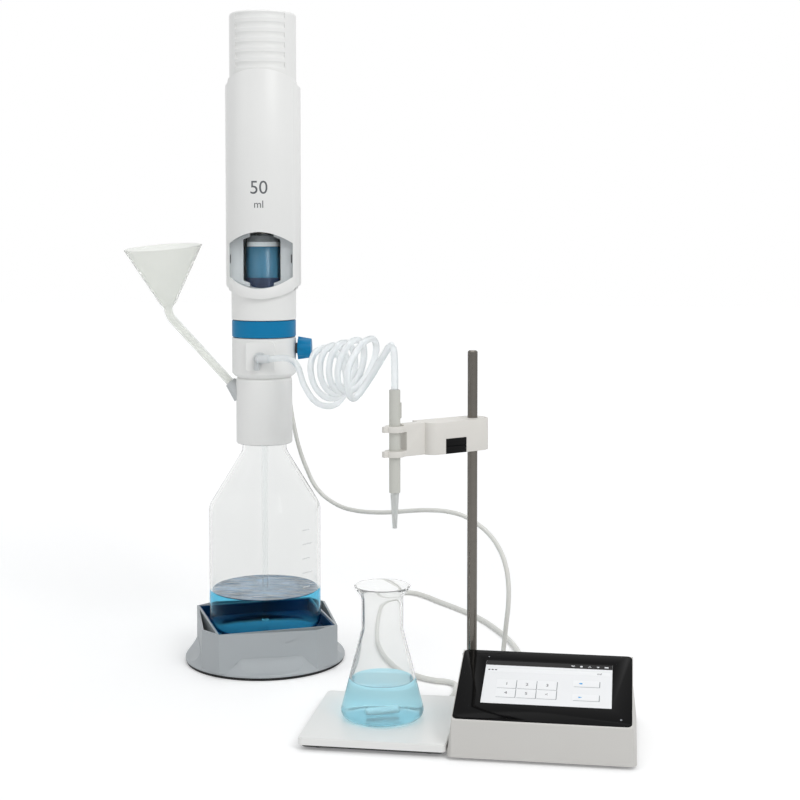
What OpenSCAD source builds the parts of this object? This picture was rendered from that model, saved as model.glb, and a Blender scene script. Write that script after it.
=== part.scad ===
// Automatic titrator: a motor burette head on a reagent bottle in a stand, a touch control
// unit with a support rod and tip holder, and a flat magnetic stirrer with its flask.
// Millimetres. Origin: centre of the bottle stand's underside. +Z up, -Y is the front.

/* [Bottle stand] */
// Diameter of the stand where it meets the table
stand_d = 145; // [140:1:156]
// Height of the stand's rim
stand_h = 39; // [34:1:46]
// Thickness of the stand's walls
stand_wall = 1.8; // [1.5:0.1:2.4]
// Thickness of the rubber pad under the stand
foot_pad_h = 2.5; // [2:0.5:4]
// Turn of the square pocket about the vertical
stand_yaw = 26; // [0:1:45]
// Angle by which each flat leaves the pocket wall
flat_lean = 6.7; // [5.5:0.1:7.5]
// Height of the cradle's floor, on which the bottle stands
cradle_floor_z = 28; // [24:1:30]
// Thickness of the cradle's floor and walls
cradle_wall = 1.2; // [1:0.1:1.6]
// Height of the ledge at the foot of each scooped flat
scoop_ledge_z = 11; // [9:1:14]
// Length of each scooped flat
scoop_len = 68; // [56:1:72]

/* [Reagent bottle] */
// Diameter of the bottle's body
bottle_d = 101; // [96:0.5:102]
// Height of the bottle's straight body
bottle_body_h = 113; // [100:1:130]
// Height of the bottle's shoulder
bottle_shoulder_h = 50; // [44:1:56]
// Height of the bottle's neck
bottle_neck_h = 43; // [39:1:46]
// Diameter of the bottle's neck
bottle_neck_d = 40; // [36:0.5:42]
// Thickness of the bottle's glass
bottle_wall = 2.2; // [1.8:0.1:3]
// Depth of reagent in the bottle
reagent_h = 36; // [20:1:80]
// Diameter of the dip tube
dip_tube_d = 6; // [4:0.5:8]

/* [Burette head] */
// Turn of the head about the vertical
head_yaw = 7; // [-20:1:30]
// Diameter of the neck adapter
adapter_d = 50.7; // [48:0.1:54]
// Height of the neck adapter
adapter_h = 60; // [54:1:66]
// Diameter of the valve block
valve_block_d = 57.7; // [56:0.1:60]
// Height of the valve block
valve_block_h = 36; // [34:1:40]
// Width of the flat outlet pad
outlet_pad_w = 25; // [20:1:28]
// Diameter of the blue lock ring
lock_ring_d = 57.6; // [55:0.1:60]
// Height of the blue lock ring
lock_ring_h = 15; // [12:1:18]
// Diameter of the lower housing
lower_housing_d = 58.2; // [56:0.1:60]
// Diameter of the main sleeve
sleeve_d = 67.5; // [66:0.1:72]
// Height of the main sleeve's top end above the window's middle
sleeve_top_rise = 168; // [150:1:180]
// Diameter of the ribbed top cap
top_cap_d = 59.8; // [58:0.1:62]
// Height of the top cap above the sleeve
top_cap_rise = 52; // [44:1:64]
// Number of grip grooves on the top cap
groove_count = 6; // [3:1:6]
// Distance between the grip grooves
groove_pitch = 8.7; // [7:0.1:9]
// Height of the window in the sleeve
window_h = 50; // [44:1:54]
// Width of the window's outer edge, measured across
window_w = 56.5; // [50:0.5:58]
// Width of the opening at the back of the window
window_slot_w = 33.4; // [30:0.2:36]

/* [Burette drive] */
// Outer diameter of the glass barrel
barrel_d = 33; // [30:0.5:34]
// Thickness of the glass barrel
barrel_wall = 1.5; // [1.2:0.1:2]
// Travel of the piston
piston_travel = 70; // [50:1:70]
// Diameter of the lead screw
screw_d = 8; // [6:0.5:8]
// Diameter of each guide rod
guide_rod_d = 4; // [3:0.5:5]
// Width of the square drive motor
motor_w = 42; // [35:1:42]
// Height of the drive motor
motor_h = 38; // [30:1:40]

/* [Knob and funnel] */
// Diameter of the recirculation knob at its face
knob_d = 17.2; // [15:0.2:19]
// Diameter of the recirculation knob at its root
knob_root_d = 21.2; // [20:0.2:22]
// Length of the recirculation knob
knob_len = 12; // [9:0.5:15]
// Tilt of the refill port from the vertical
port_tilt = 42.6; // [35:0.2:50]
// Diameter of the funnel's stem
stem_d = 7.8; // [7:0.1:8.4]
// Length of the funnel's stem above its socket
stem_len = 82; // [60:1:100]
// Diameter of the funnel's rim
funnel_d = 70; // [60:1:80]
// Height of the funnel's cone
funnel_h = 57; // [48:1:64]
// Thickness of the funnel's glass
funnel_wall = 1.5; // [1.2:0.1:2]

/* [Control unit] */
// Width of the control unit
box_w = 140; // [130:1:160]
// Depth of the control unit
box_d = 116; // [110:1:130]
// Height of the control unit's front face
box_front_h = 30; // [26:1:36]
// Slope of the touch panel
panel_slope = 17.2; // [14:0.2:20]
// Width of the touch panel
panel_w = 132; // [124:1:134]
// Length of the touch panel along the slope
panel_l = 91; // [84:1:92]
// Thickness of the touch panel's glass
panel_t = 2.4; // [1.8:0.1:3]
// Width of the display
display_w = 98; // [90:1:104]
// Length of the display along the slope
display_l = 56; // [50:1:60]
// Height of the feet
foot_h = 2.4; // [2:0.2:3]
// Diameter of the support rod
rod_d = 8; // [6:0.5:10]
// Height of the support rod's top end
rod_top_z = 295; // [270:1:320]

/* [Stirrer and flask] */
// Width of the stirrer plate
stirrer_w = 113; // [108:1:118]
// Height of the stirrer plate's top face
stirrer_h = 10; // [9:0.5:14]
// Diameter of the flask's base
flask_d = 65; // [58:1:70]
// Height of the flask
flask_h = 104; // [96:1:110]
// Diameter of the flask's neck
flask_neck_d = 32.6; // [28:0.2:36]
// Thickness of the flask's glass
flask_wall = 1.8; // [1.4:0.1:2.2]
// Depth of the sample in the flask
sample_h = 30; // [20:1:40]
// Length of the stir bar
stir_bar_l = 25; // [16:1:30]

/* [Tip holder] */
// Height of the holder arm's underside at rest
arm_z = 216; // [200:1:230]
// Height of the holder arm
arm_h = 25; // [20:1:28]
// Distance from the rod to the dosing tip
arm_reach = 75; // [68:1:85]
// Direction of the arm from the rod
arm_yaw = 222.8; // [215:0.2:230]
// Diameter of the arm's round end
arm_end_d = 25; // [22:0.5:28]
// Diameter of the dosing tip's body
tip_d = 8.8; // [7:0.2:10]
// Length of the dosing tip's body
tip_body_l = 80; // [70:1:90]
// How far the tip's body reaches below the arm
tip_drop = 28; // [24:1:32]
// Length of the dosing nozzle
nozzle_l = 28; // [20:1:30]

/* [Hidden] */
$fn = 96;
gap = 0.3;       // clearance between bodies that don't bear on each other
run = 0.05;      // radial running clearance
skin = 0.02;     // depth by which a cutter passes a face

// ---- heights of the tower, from the bottle up ----
bottle_r = bottle_d / 2;
bottle_z = cradle_floor_z;
shoulder_z = bottle_z + bottle_body_h;
neck_z = shoulder_z + bottle_shoulder_h;
bottle_top_z = neck_z + bottle_neck_h;
adapter_z = neck_z + 7;
adapter_top_z = adapter_z + adapter_h;
valve_z = adapter_top_z;
valve_top_z = valve_z + valve_block_h;
ring_z = valve_top_z + 0.7;
ring_top_z = ring_z + lock_ring_h;
housing_z = ring_top_z + 0.7;
barrel_floor_z = valve_top_z + 8;
window_z = housing_z + 53.5;             // middle of the window
window_low_z = window_z - window_h / 2;
window_top_z = window_z + window_h / 2;
sleeve_z = window_low_z - 9;
sleeve_top_z = window_z + sleeve_top_rise;
top_cap_top_z = sleeve_top_z + top_cap_rise;
seal_h = 4;
seal_z = barrel_floor_z + 1.5 + piston_travel + 2.5;
piston_h = 11;
piston_top_z = seal_z + piston_h;
barrel_top_z = piston_top_z + 7;
collar_h = 5;
rod_tube_l = piston_travel + 12;
nut_z = piston_top_z + rod_tube_l;
nut_h = 10;
motor_plate_z = nut_z + nut_h + 8;
motor_plate_h = 4;
motor_z = motor_plate_z + motor_plate_h;

// ---- places of the control unit and the stirrer ----
box_x = 195;
box_y = -232;
box_z = foot_h;
rod_x = box_x + 8;
rod_back = 11;            // from the rod's axis to the unit's rear face
rod_y = box_y + box_d - rod_back;
box_crest_z = box_front_h + panel_run() * tan(panel_slope);
box_deck_z = 41;
socket_h = 8;
socket_r = 7.5;
deck_l = rod_back + socket_r + 0.6;
stirrer_x = box_x - stirrer_w;
stirrer_plinth_h = 2;
flask_x = stirrer_x + stirrer_w / 2 - 1;
flask_y = box_y + box_d / 2;
plug_z = 26;
head_plug_x = 224;
stir_plug_x = 240;
plug_len = 18;
head_cable_d = 4;
stirrer_cable_d = 5;
tube_d = 5.6;
stirrer_gland_x = box_x - 10;
stirrer_gland_z = 5.6;

function panel_run() = panel_l * cos(panel_slope) + 2;
function pol(r, a) = [r * cos(a), r * sin(a)];
// points along an arc about c, from angle a to angle b
function arc(c, r, a, b, n = 6) = [for (i = [0:n]) c + pol(r, a + (b - a) * i / n)];
// where two lines meet, each given by its normal's angle and its distance from the origin
function meet(a, da, b, db) =
    let (k = sin(b - a))
    [(da * sin(b) - db * sin(a)) / k, (db * cos(a) - da * cos(b)) / k];

// ---- routes, hand-chosen ----
head_cable_route = [
    [8, 34, 312], [9, 40, 303], [10, 44, 286], [11, 45, 262], [13, 45, 235], [17, 45, 208],
    [23, 44.5, 184], [30, 44, 166], [37, 42, 153], [45, 39.5, 144.5], [54, 36, 139],
    [65, 30.5, 135], [80, 22, 133.5], [96, 14, 134], [116, 4, 136.5], [136, -6.5, 140.5],
    [156, -17, 143.5], [175, -27, 144], [187, -33.5, 142], [199, -41, 137], [210, -49.5, 130],
    [219, -58, 120], [225, -66, 108], [228, -73, 94], [228.5, -78, 79], [227, -81, 62],
    [225.5, -82, 47], [224.5, -85, 35], [224, -90, 28], [224, -98, 26]
];
stirrer_cable_route = [
    [185, -110, 5.6], [185, -100, 5], [184.5, -88, 3.2], [184, -74, 2.5], [181.5, -62, 2.5],
    [175, -56, 2.5], [163, -53.5, 2.5], [149, -46, 2.5], [133, -31, 2.5], [119, -10, 2.5],
    [106, 18, 2.5], [95, 50, 2.5], [87, 85, 2.5], [81, 125, 2.5], [77, 165, 2.5],
    [76, 203, 2.5], [79, 230, 2.5], [87, 244, 2.5], [99, 246, 2.5], [114, 235, 2.5],
    [133, 213, 2.5], [156, 187, 2.5], [179, 157, 2.5], [201, 117, 2.5], [219, 74, 2.5],
    [231, 30, 2.5], [238, -14, 2.5], [240, -50, 3.5], [240, -70, 9], [240, -84, 19],
    [240, -98, 26]
];
tube_lead_route = [
    [14, -37.5, 277], [24, -38.5, 277.5], [33, -39.5, 276], [41, -40.5, 268.5],
    [49, -41.5, 254], [56, -42.5, 244], [61.5, -43.8, 240]
];
coil_yaw = -24.5;          // direction that the turns of the coil face
coil_from = [63.6, -36, 261];
coil_to = [127.7, -152.8, 291];
coil_r_from = 28;
coil_r_to = 15;
tip_xy = [rod_x, rod_y] + pol(arm_reach, arm_yaw);
tip_z = arm_z - tip_drop;
tip_top_z = tip_z + tip_body_l;
tube_drop_route = [
    [128.4, -153.1, 301], [131.8, -154.7, 301], [136, -158, 302.6], [140.5, -163.5, 304],
    [144.5, -170, 302.5], [147, -175, 297], [147.9, -177.6, 289], [148, -178, 281],
    [tip_xy[0], tip_xy[1], tip_top_z]
];

// ---- shared shapes ----
module head() { rotate([0, 0, head_yaw]) children(); }

module at_port() {
    head() translate([-31, 0, adapter_top_z - 5]) rotate([0, -port_tilt, 0]) children();
}

module at_box() { translate([box_x, box_y, 0]) children(); }

module on_slope() {
    at_box() translate([0, 1, box_front_h]) rotate([panel_slope, 0, 0]) children();
}

module at_rod() { translate([rod_x, rod_y, 0]) children(); }

module in_arm() { at_rod() translate([0, 0, arm_z]) rotate([0, 0, arm_yaw]) children(); }

module at_tip() { translate([tip_xy[0], tip_xy[1], 0]) children(); }

module tube(r, h, bore) {
    difference() {
        cylinder(r = r, h = h);
        translate([0, 0, -skin]) cylinder(r = bore, h = h + 2 * skin);
    }
}

module round_rect(w, d, r) {
    polygon(concat(
        arc([w - r, d - r], r, 0, 90), arc([r, d - r], r, 90, 180),
        arc([r, r], r, 180, 270), arc([w - r, r], r, 270, 360)));
}

// a tube swept along a route, with eight sides
module sweep(route, d) {
    n = len(route);
    sides = 8;
    function along(i) =
        let (v = route[min(i + 1, n - 1)] - route[max(i - 1, 0)]) v / norm(v);
    function side_of(i) =
        let (t = along(i), s = abs(t[2]) > 0.9 ? [0, 1, 0] : [0, 0, 1], c = cross(t, s))
        c / norm(c);
    // each ring's frame is the one before it, turned as little as the bend needs
    function carry(i, u) = let (t = along(i), v = u - t * (u * t)) v / norm(v);
    function frames(i, u) =
        i >= n ? [] : let (v = carry(i, u)) concat([v], frames(i + 1, v));
    us = frames(0, side_of(0));
    points = [for (i = [0:n - 1]) let (t = along(i), u = us[i], w = cross(t, u))
        for (k = [0:sides - 1])
            route[i] + d / 2 * (cos(k * 360 / sides) * u + sin(k * 360 / sides) * w)];
    walls = [for (i = [0:n - 2]) for (k = [0:sides - 1])
        let (a = i * sides + k, b = i * sides + (k + 1) % sides) [a, a + sides, b + sides, b]];
    ends = [[for (k = [0:sides - 1]) k], [for (k = [sides - 1:-1:0]) (n - 1) * sides + k]];
    polyhedron(points = points, faces = concat(walls, ends), convexity = 6);
}

// ---- bottle stand ----
pocket_half = bottle_r + 0.5 + cradle_wall;
pocket_outer = pocket_half + stand_wall;
flat_angle = 270 - flat_lean;
// each flat passes the pocket's corner, and each horn is tangent to the base circle
flat_off = pocket_outer * (cos(flat_lean) + sin(flat_lean));
horn_angle = 298;
horn_off = stand_d / 2 - 0.4;

module pinwheel(inset) {
    polygon([for (k = [0:3]) for (p = [
        meet(flat_angle + 90 * k, flat_off - inset, horn_angle + 90 * k, horn_off - inset),
        meet(horn_angle + 90 * k, horn_off - inset, flat_angle + 90 * (k + 1), flat_off - inset)
    ]) p]);
}

module stand_skirt() {
    top_r = flat_off - 0.6;
    base_r = stand_d / 2;
    steps = 8;
    rotate_extrude() polygon(concat(
        [[0, foot_pad_h], [base_r, foot_pad_h]],
        [for (i = [0:steps]) let (t = i / steps)
            [top_r + (base_r - top_r) * pow(1 - t, 1.6),
             foot_pad_h + 1.5 + (stand_h - foot_pad_h - 1.5) * t]],
        [[0, stand_h]]));
}

module stand_shell() color([0.66, 0.67, 0.67]) rotate([0, 0, stand_yaw]) difference() {
    union() {
        stand_skirt();
        translate([0, 0, foot_pad_h + 2])
            linear_extrude(stand_h - foot_pad_h - 2) pinwheel(0);
    }
    // the scooped flats, each with a rounded foot
    for (k = [0:3]) rotate([0, 0, flat_angle + 90 * k]) translate([flat_off, 0, 0])
        rotate([90, 0, 90]) linear_extrude(40) polygon(concat(
            arc([scoop_len / 2 - 8, scoop_ledge_z + 8], 8, 0, -90),
            arc([-scoop_len / 2 + 8, scoop_ledge_z + 8], 8, 270, 180),
            [[-scoop_len / 2, stand_h + 1], [scoop_len / 2, stand_h + 1]]));
    // the pocket for the cradle
    translate([0, 0, cradle_floor_z - cradle_wall]) linear_extrude(stand_h)
        square(2 * pocket_half, center = true);
    // the open wedges between the skin and the pocket wall
    translate([0, 0, scoop_ledge_z - 3]) linear_extrude(stand_h) difference() {
        pinwheel(stand_wall);
        square(2 * pocket_outer, center = true);
    }
    // the hollow under the pocket
    translate([0, 0, foot_pad_h - skin])
        cylinder(r = pocket_half - 8, h = cradle_floor_z - foot_pad_h - 2 * cradle_wall - 2);
    // the groove for the rubber pad's rib
    translate([0, 0, foot_pad_h - skin]) tube(stand_d / 2 - 4, 2, stand_d / 2 - 9);
}

module stand_foot_pad() color([0.05, 0.05, 0.05]) {
    cylinder(r = stand_d / 2 - 1, h = foot_pad_h);
    translate([0, 0, foot_pad_h]) tube(stand_d / 2 - 4.2, 1.6, stand_d / 2 - 8.8);
}

module bottle_cradle() color([0.03, 0.26, 0.42]) rotate([0, 0, stand_yaw])
    translate([0, 0, cradle_floor_z - cradle_wall]) difference() {
        linear_extrude(stand_h - cradle_floor_z + cradle_wall - 0.8)
            square(2 * pocket_half - 0.1, center = true);
        translate([0, 0, cradle_wall]) linear_extrude(stand_h)
            square(2 * (pocket_half - cradle_wall), center = true);
    }

// ---- reagent bottle ----
bottle_heel_r = 9;
bottle_bend_r = 16;

// half section of the bottle, shrunk by t all round
function bottle_outline(t) =
    let (
        r = bottle_r - t,
        rn = bottle_neck_d / 2 - t,
        slope = atan2(bottle_shoulder_h, bottle_r - bottle_neck_d / 2),
        bend = bottle_bend_r - t,
        dip = bottle_bend_r * tan((90 - slope) / 2)
    )
    concat(
        [[0, t]],
        arc([bottle_r - bottle_heel_r, bottle_heel_r], bottle_heel_r - t, -90, 0),
        arc([bottle_r - bottle_bend_r, bottle_body_h - dip], bend, 0, 90 - slope),
        arc([bottle_neck_d / 2 + bottle_heel_r, bottle_body_h + bottle_shoulder_h
             + bottle_heel_r * tan((90 - slope) / 2)], bottle_heel_r + t,
            270 - slope, 180),
        [[rn, bottle_body_h + bottle_shoulder_h + bottle_neck_h]]);

module reagent_bottle() color([0.85, 0.9, 0.92, 0.3]) translate([0, 0, bottle_z]) {
    top = bottle_body_h + bottle_shoulder_h + bottle_neck_h;
    rotate_extrude() difference() {
        polygon(concat(bottle_outline(0), [[0, top]]));
        polygon(concat(bottle_outline(bottle_wall), [[0, top]]));
        translate([-1, top - skin]) square([bottle_neck_d / 2 + 1 - bottle_wall, 1]);
    }
}

module reagent() color([0.1, 0.35, 0.6, 0.7]) translate([0, 0, bottle_z]) rotate_extrude()
    difference() {
        intersection() {
            polygon(concat(bottle_outline(bottle_wall + 0.1),
                [[0, bottle_body_h + bottle_shoulder_h + bottle_neck_h]]));
            square([bottle_r, reagent_h]);
        }
        translate([0, 6]) square([dip_tube_d / 2 + 0.1, reagent_h]);
    }

module dip_tube() color([0.93, 0.95, 0.96]) translate([0, 0, bottle_z + 7])
    tube(dip_tube_d / 2, valve_z - bottle_z - 7 + 12, dip_tube_d / 2 - 1);

// ---- adapter and refill port ----
bush_r = 4.9;
bush_depth = 18;
bush_root_r = 7.6;
bush_face_r = 5.2;

module neck_adapter() color([0.9, 0.9, 0.89]) difference() {
    rotate_extrude() polygon(concat(
        [[0, adapter_z], [adapter_d / 2 - 1, adapter_z], [adapter_d / 2, adapter_z + 1]],
        arc([adapter_d / 2 - 2.5, adapter_top_z - 2.5], 2.5, 0, 90),
        [[0, adapter_top_z]]));
    translate([0, 0, adapter_z - skin])
        cylinder(r = bottle_neck_d / 2 + 0.4, h = bottle_top_z - adapter_z + skin);
    translate([0, 0, adapter_z]) cylinder(r = bottle_neck_d / 2 - 4, h = adapter_h - 6);
    translate([0, 0, adapter_z]) cylinder(r = dip_tube_d / 2 + 0.1, h = adapter_h + 1);
    at_port() translate([0, 0, -bush_depth]) cylinder(r = bush_r, h = 30);
    at_port() translate([0, 0, -bush_depth - 10]) cylinder(r = 3, h = 20);
}

module port_bush() color([0.72, 0.74, 0.75]) {
    difference() {
        at_port() translate([0, 0, -16]) cylinder(r1 = bush_root_r + 1.6, r2 = bush_face_r, h = 16);
        translate([0, 0, adapter_z]) cylinder(r = adapter_d / 2, h = adapter_h + 9);
        at_port() translate([0, 0, -bush_depth - 1]) cylinder(r = stem_d / 2 + run, h = 30);
    }
    difference() {
        at_port() translate([0, 0, -bush_depth]) cylinder(r = bush_r, h = bush_depth - 1);
        at_port() translate([0, 0, -bush_depth + 2]) cylinder(r = stem_d / 2 + run, h = 30);
        at_port() translate([0, 0, -bush_depth - 1]) cylinder(r = 2.6, h = 30);
    }
}

funnel_lean = 3.6;   // of the cone's axis, to the left
funnel_nod = 4.6;    // and to the front
stem_in = bush_depth - 2.2;

module in_cone() {
    at_port() translate([0, 0, stem_len]) rotate([0, port_tilt, 0])
        rotate([funnel_nod, -funnel_lean, 0]) children();
}

module refill_funnel() color([0.85, 0.9, 0.92, 0.35]) difference() {
    union() {
        at_port() translate([0, 0, -stem_in]) cylinder(r = stem_d / 2, h = stem_len + stem_in);
        in_cone() sphere(r = stem_d / 2 + 0.15);
        in_cone() rotate_extrude() polygon([[0, 0], [stem_d / 2, 0], [stem_d / 2, 5],
            [funnel_d / 2, funnel_h + 5], [0, funnel_h + 5]]);
    }
    at_port() translate([0, 0, -stem_in - 1])
        cylinder(r = stem_d / 2 - 1.3, h = stem_len + stem_in + 1);
    in_cone() sphere(r = stem_d / 2 - 1.2);
    in_cone() rotate_extrude() polygon([[0, 0], [stem_d / 2 - 1.3, 0], [stem_d / 2 - 1.3, 5],
        [funnel_d / 2 - funnel_wall, funnel_h + 5 - skin],
        [funnel_d / 2 - funnel_wall, funnel_h + 6], [0, funnel_h + 6]]);
}

// ---- valve block, outlet and knob ----
valve_r = valve_block_d / 2;
pad_z = valve_z + 8;
pad_y = -valve_r - 1.2;
outlet_z = pad_z + 11;
outlet_y = pad_y - 6.5;
knob_z = valve_z + 26;
spindle_r = 4.9;
spindle_in = 12;
knob_x = valve_r + 2.2;

module valve_block() color([0.92, 0.92, 0.91]) difference() {
    union() {
        rotate_extrude() polygon([[0, valve_z], [adapter_d / 2 - 1, valve_z],
            [adapter_d / 2 - 1, valve_z + 1.2], [valve_r - 2.6, valve_z + 1.2],
            [valve_r, valve_z + 4], [valve_r, valve_top_z - 0.6], [valve_r - 0.6, valve_top_z],
            [0, valve_top_z]]);
        head() translate([-outlet_pad_w / 2, pad_y, pad_z])
            rotate([-90, 0, 0]) translate([0, -outlet_pad_w, 0]) linear_extrude(valve_r)
                round_rect(outlet_pad_w, outlet_pad_w, 2);
    }
    // seat of the valve spindle
    head() translate([valve_r - spindle_in, 0, knob_z]) rotate([0, 90, 0])
        cylinder(r = spindle_r + run, h = 2 * spindle_in);
    // liquid way from the dip tube up to the barrel
    translate([0, 0, valve_z - skin]) cylinder(r = dip_tube_d / 2 + 0.1, h = 12 + skin);
    cylinder(r = 2, h = valve_top_z + 1);
    // liquid way to the outlet
    head() translate([0, 0, outlet_z]) rotate([90, 0, 0]) cylinder(r = 2, h = valve_r + 10);
}

module outlet_elbow() color([0.93, 0.94, 0.95]) head() difference() {
    union() {
        translate([0, pad_y, outlet_z]) rotate([90, 0, 0]) cylinder(r = 5.5, h = 3);
        translate([0, pad_y, outlet_z]) rotate([90, 0, 0]) cylinder(r = 3.6, h = 6.5);
        translate([0, outlet_y, outlet_z]) sphere(r = 3.6);
        translate([0, outlet_y, outlet_z]) rotate([0, 90, 0]) cylinder(r = 3.6, h = 9);
    }
    translate([0, pad_y + 1, outlet_z]) rotate([90, 0, 0]) cylinder(r = 1.6, h = 7.5);
    translate([0, outlet_y, outlet_z]) sphere(r = 1.6);
    translate([0, outlet_y, outlet_z]) rotate([0, 90, 0]) cylinder(r = 1.6, h = 10);
}

module valve_spindle() color([0.12, 0.13, 0.14]) head()
    translate([valve_r - spindle_in + gap, 0, knob_z]) rotate([0, 90, 0]) {
        cylinder(r = spindle_r, h = knob_x - valve_r + spindle_in - gap);
        cylinder(r = 3, h = knob_x - valve_r + spindle_in - gap + 8);
    }

module valve_knob() color([0.02, 0.4, 0.65]) head() translate([knob_x, 0, knob_z])
    rotate([0, 90, 0]) difference() {
        intersection() {
            cylinder(r1 = knob_root_d / 2, r2 = knob_d / 2, h = knob_len);
            linear_extrude(knob_len) polygon([for (k = [0:8])
                each [pol(knob_root_d / 2 * 0.86, k * 40), pol(knob_root_d / 2 * 1.02, k * 40 + 20)]]);
        }
        translate([0, 0, -skin]) cylinder(r = 3, h = 8 + skin);
    }

module lock_ring() color([0.02, 0.42, 0.68]) translate([0, 0, ring_z]) rotate_extrude()
    polygon([[collar_r + 0.1, 0], [lock_ring_d / 2 - 0.6, 0], [lock_ring_d / 2, 0.6],
        [lock_ring_d / 2, lock_ring_h - 0.6], [lock_ring_d / 2 - 0.6, lock_ring_h],
        [collar_r + 0.1, lock_ring_h]]);

// ---- barrel housing ----
collar_r = 24;
barrel_r = barrel_d / 2;
housing_r = lower_housing_d / 2;
housing_top_z = window_low_z - 2;

module lower_housing() color([0.93, 0.93, 0.92]) difference() {
    union() {
        translate([0, 0, valve_top_z]) cylinder(r = collar_r, h = housing_z - valve_top_z + 1);
        translate([0, 0, housing_z]) cylinder(r = housing_r, h = housing_top_z - housing_z);
    }
    translate([0, 0, barrel_floor_z]) cylinder(r = barrel_r + 0.05, h = 200);
    translate([0, 0, valve_top_z - 1]) cylinder(r = 2, h = 20);
    // socket of the head cable's gland
    head() translate([0, housing_r - 4, housing_z + 8]) rotate([-90, 0, 0]) cylinder(r = 5, h = 10);
}

// front view outline of the sleeve: straight sides, arched ends
module sleeve_front() {
    r = sleeve_d / 2;
    drop = 10;
    big = (r * r + drop * drop) / (2 * drop);
    a = asin((r - 5) / big);
    polygon(concat(
        arc([0, sleeve_top_z - big], big, 90 - a, 90 + a, 12),
        arc([-r + 6, sleeve_top_z - drop - 6.5], 6, 110, 180, 4),
        arc([-r + 6, sleeve_z + drop + 5], 6, 180, 250, 4),
        arc([0, sleeve_z + big], big, 270 - a, 270 + a, 12),
        arc([r - 6, sleeve_z + drop + 5], 6, 290, 360, 4),
        arc([r - 6, sleeve_top_z - drop - 6.5], 6, 0, 70, 4)));
}

// front view outline of the window: arched top and bottom, the sides a little bowed
module window_front(inset) {
    w = window_w / 2 - inset;
    h = window_h / 2 - inset;
    rise = 10;
    polygon(concat(
        [for (i = [-8:8]) let (t = i / 8) [w * t, h - rise * t * t]],
        [for (i = [8:-1:-8]) let (t = i / 8) [w * t, -h + rise * t * t]]));
}

module window_slot(depth) {
    w = window_slot_w / 2;
    translate([0, 0, window_z]) rotate([90, 0, 0]) linear_extrude(depth)
        intersection() {
            window_front(2.6);
            square([2 * w, window_h], center = true);
        }
}

sleeve_wall = 2.4;
cover_t = 1.1;
cheek_y = 13;

module main_sleeve() color([0.94, 0.94, 0.93]) head() difference() {
    union() {
        intersection() {
            difference() {
                translate([0, 0, sleeve_z - 1])
                    cylinder(r = sleeve_d / 2, h = sleeve_top_z - sleeve_z + 2);
                // the ends close on the housing and on the cap
                translate([0, 0, sleeve_z - 2])
                    cylinder(r = housing_r + 0.06, h = housing_top_z - sleeve_z + 3);
                translate([0, 0, housing_top_z])
                    cylinder(r = sleeve_d / 2 - sleeve_wall,
                        h = sleeve_top_z - cap_skirt + 2 - housing_top_z);
                translate([0, 0, sleeve_top_z - cap_skirt])
                    cylinder(r = top_cap_d / 2 + 0.06, h = cap_skirt + 2);
            }
            rotate([90, 0, 0]) linear_extrude(sleeve_d + 2, center = true) sleeve_front();
        }
        // the frame of the window, moulded inside the sleeve
        intersection() {
            translate([0, 0, window_low_z - 1]) cylinder(r = sleeve_d / 2 - 1, h = window_h + 5);
            translate([-window_w / 2 - 1, -sleeve_d / 2, window_low_z - 1])
                cube([window_w + 2, sleeve_d / 2 - 9, window_h + 5]);
        }
    }
    // sloping cheeks of the recess
    intersection() {
        translate([0, 0, window_z]) rotate([90, 0, 0]) linear_extrude(50) window_front(0);
        translate([0, 0, window_low_z - 5]) linear_extrude(window_h + 10) polygon([
            [-window_w / 2, -60], [window_w / 2, -60], [window_w / 2, -window_cheek_y()],
            [window_slot_w / 2, -cheek_y], [-window_slot_w / 2, -cheek_y],
            [-window_w / 2, -window_cheek_y()]]);
    }
    window_slot(40);
    // the way for the glass barrel and the piston rod's carriage
    translate([0, 0, sleeve_z - 10]) cylinder(r = barrel_r + 0.3, h = 200);
}

// depth at which the recess's outer edge lies in the sleeve's round wall
function window_cheek_y() =
    sqrt(pow(sleeve_d / 2 - cover_t - 0.1, 2) - pow(window_w / 2, 2)) - 0.3;

module window_cover() color([0.8, 0.87, 0.9, 0.35]) head() intersection() {
    translate([0, 0, window_low_z]) tube(sleeve_d / 2 - 0.1, window_h, sleeve_d / 2 - 0.1 - cover_t);
    translate([0, 0, window_z]) rotate([90, 0, 0]) linear_extrude(50) window_front(0.15);
}

module glass_barrel() color([0.85, 0.9, 0.92, 0.35]) translate([0, 0, barrel_floor_z])
    difference() {
        cylinder(r = barrel_r, h = barrel_top_z - barrel_floor_z);
        translate([0, 0, 1.5]) cylinder(r = barrel_r - barrel_wall, h = 200);
        translate([0, 0, -1]) cylinder(r = 2, h = 10);
    }

module barrel_charge() color([0.25, 0.5, 0.66, 0.7]) translate([0, 0, barrel_floor_z + 1.5])
    cylinder(r = barrel_r - barrel_wall - 0.05, h = seal_z - barrel_floor_z - 1.6);

// ---- piston and screw drive ----
piston_r = barrel_r - barrel_wall - run;

module piston_seal() color([0.86, 0.88, 0.9]) translate([0, 0, seal_z])
    tube(piston_r, seal_h, piston_r - 2.5);

module piston() color([0.45, 0.47, 0.48]) translate([0, 0, seal_z]) rotate_extrude()
    polygon([[0, 0], [piston_r - 2.5, 0], [piston_r - 2.5, seal_h], [piston_r - 0.3, seal_h],
        [piston_r - 0.3, piston_h - 1.5], [piston_r - 1.8, piston_h], [0, piston_h]]);

rod_tube_r = 6.5;

module piston_rod() color([0.75, 0.76, 0.77]) translate([0, 0, piston_top_z])
    tube(rod_tube_r, rod_tube_l, screw_d / 2 + 0.5);

guide_x = 17;
nut_w = 2 * guide_x + 9;

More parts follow.
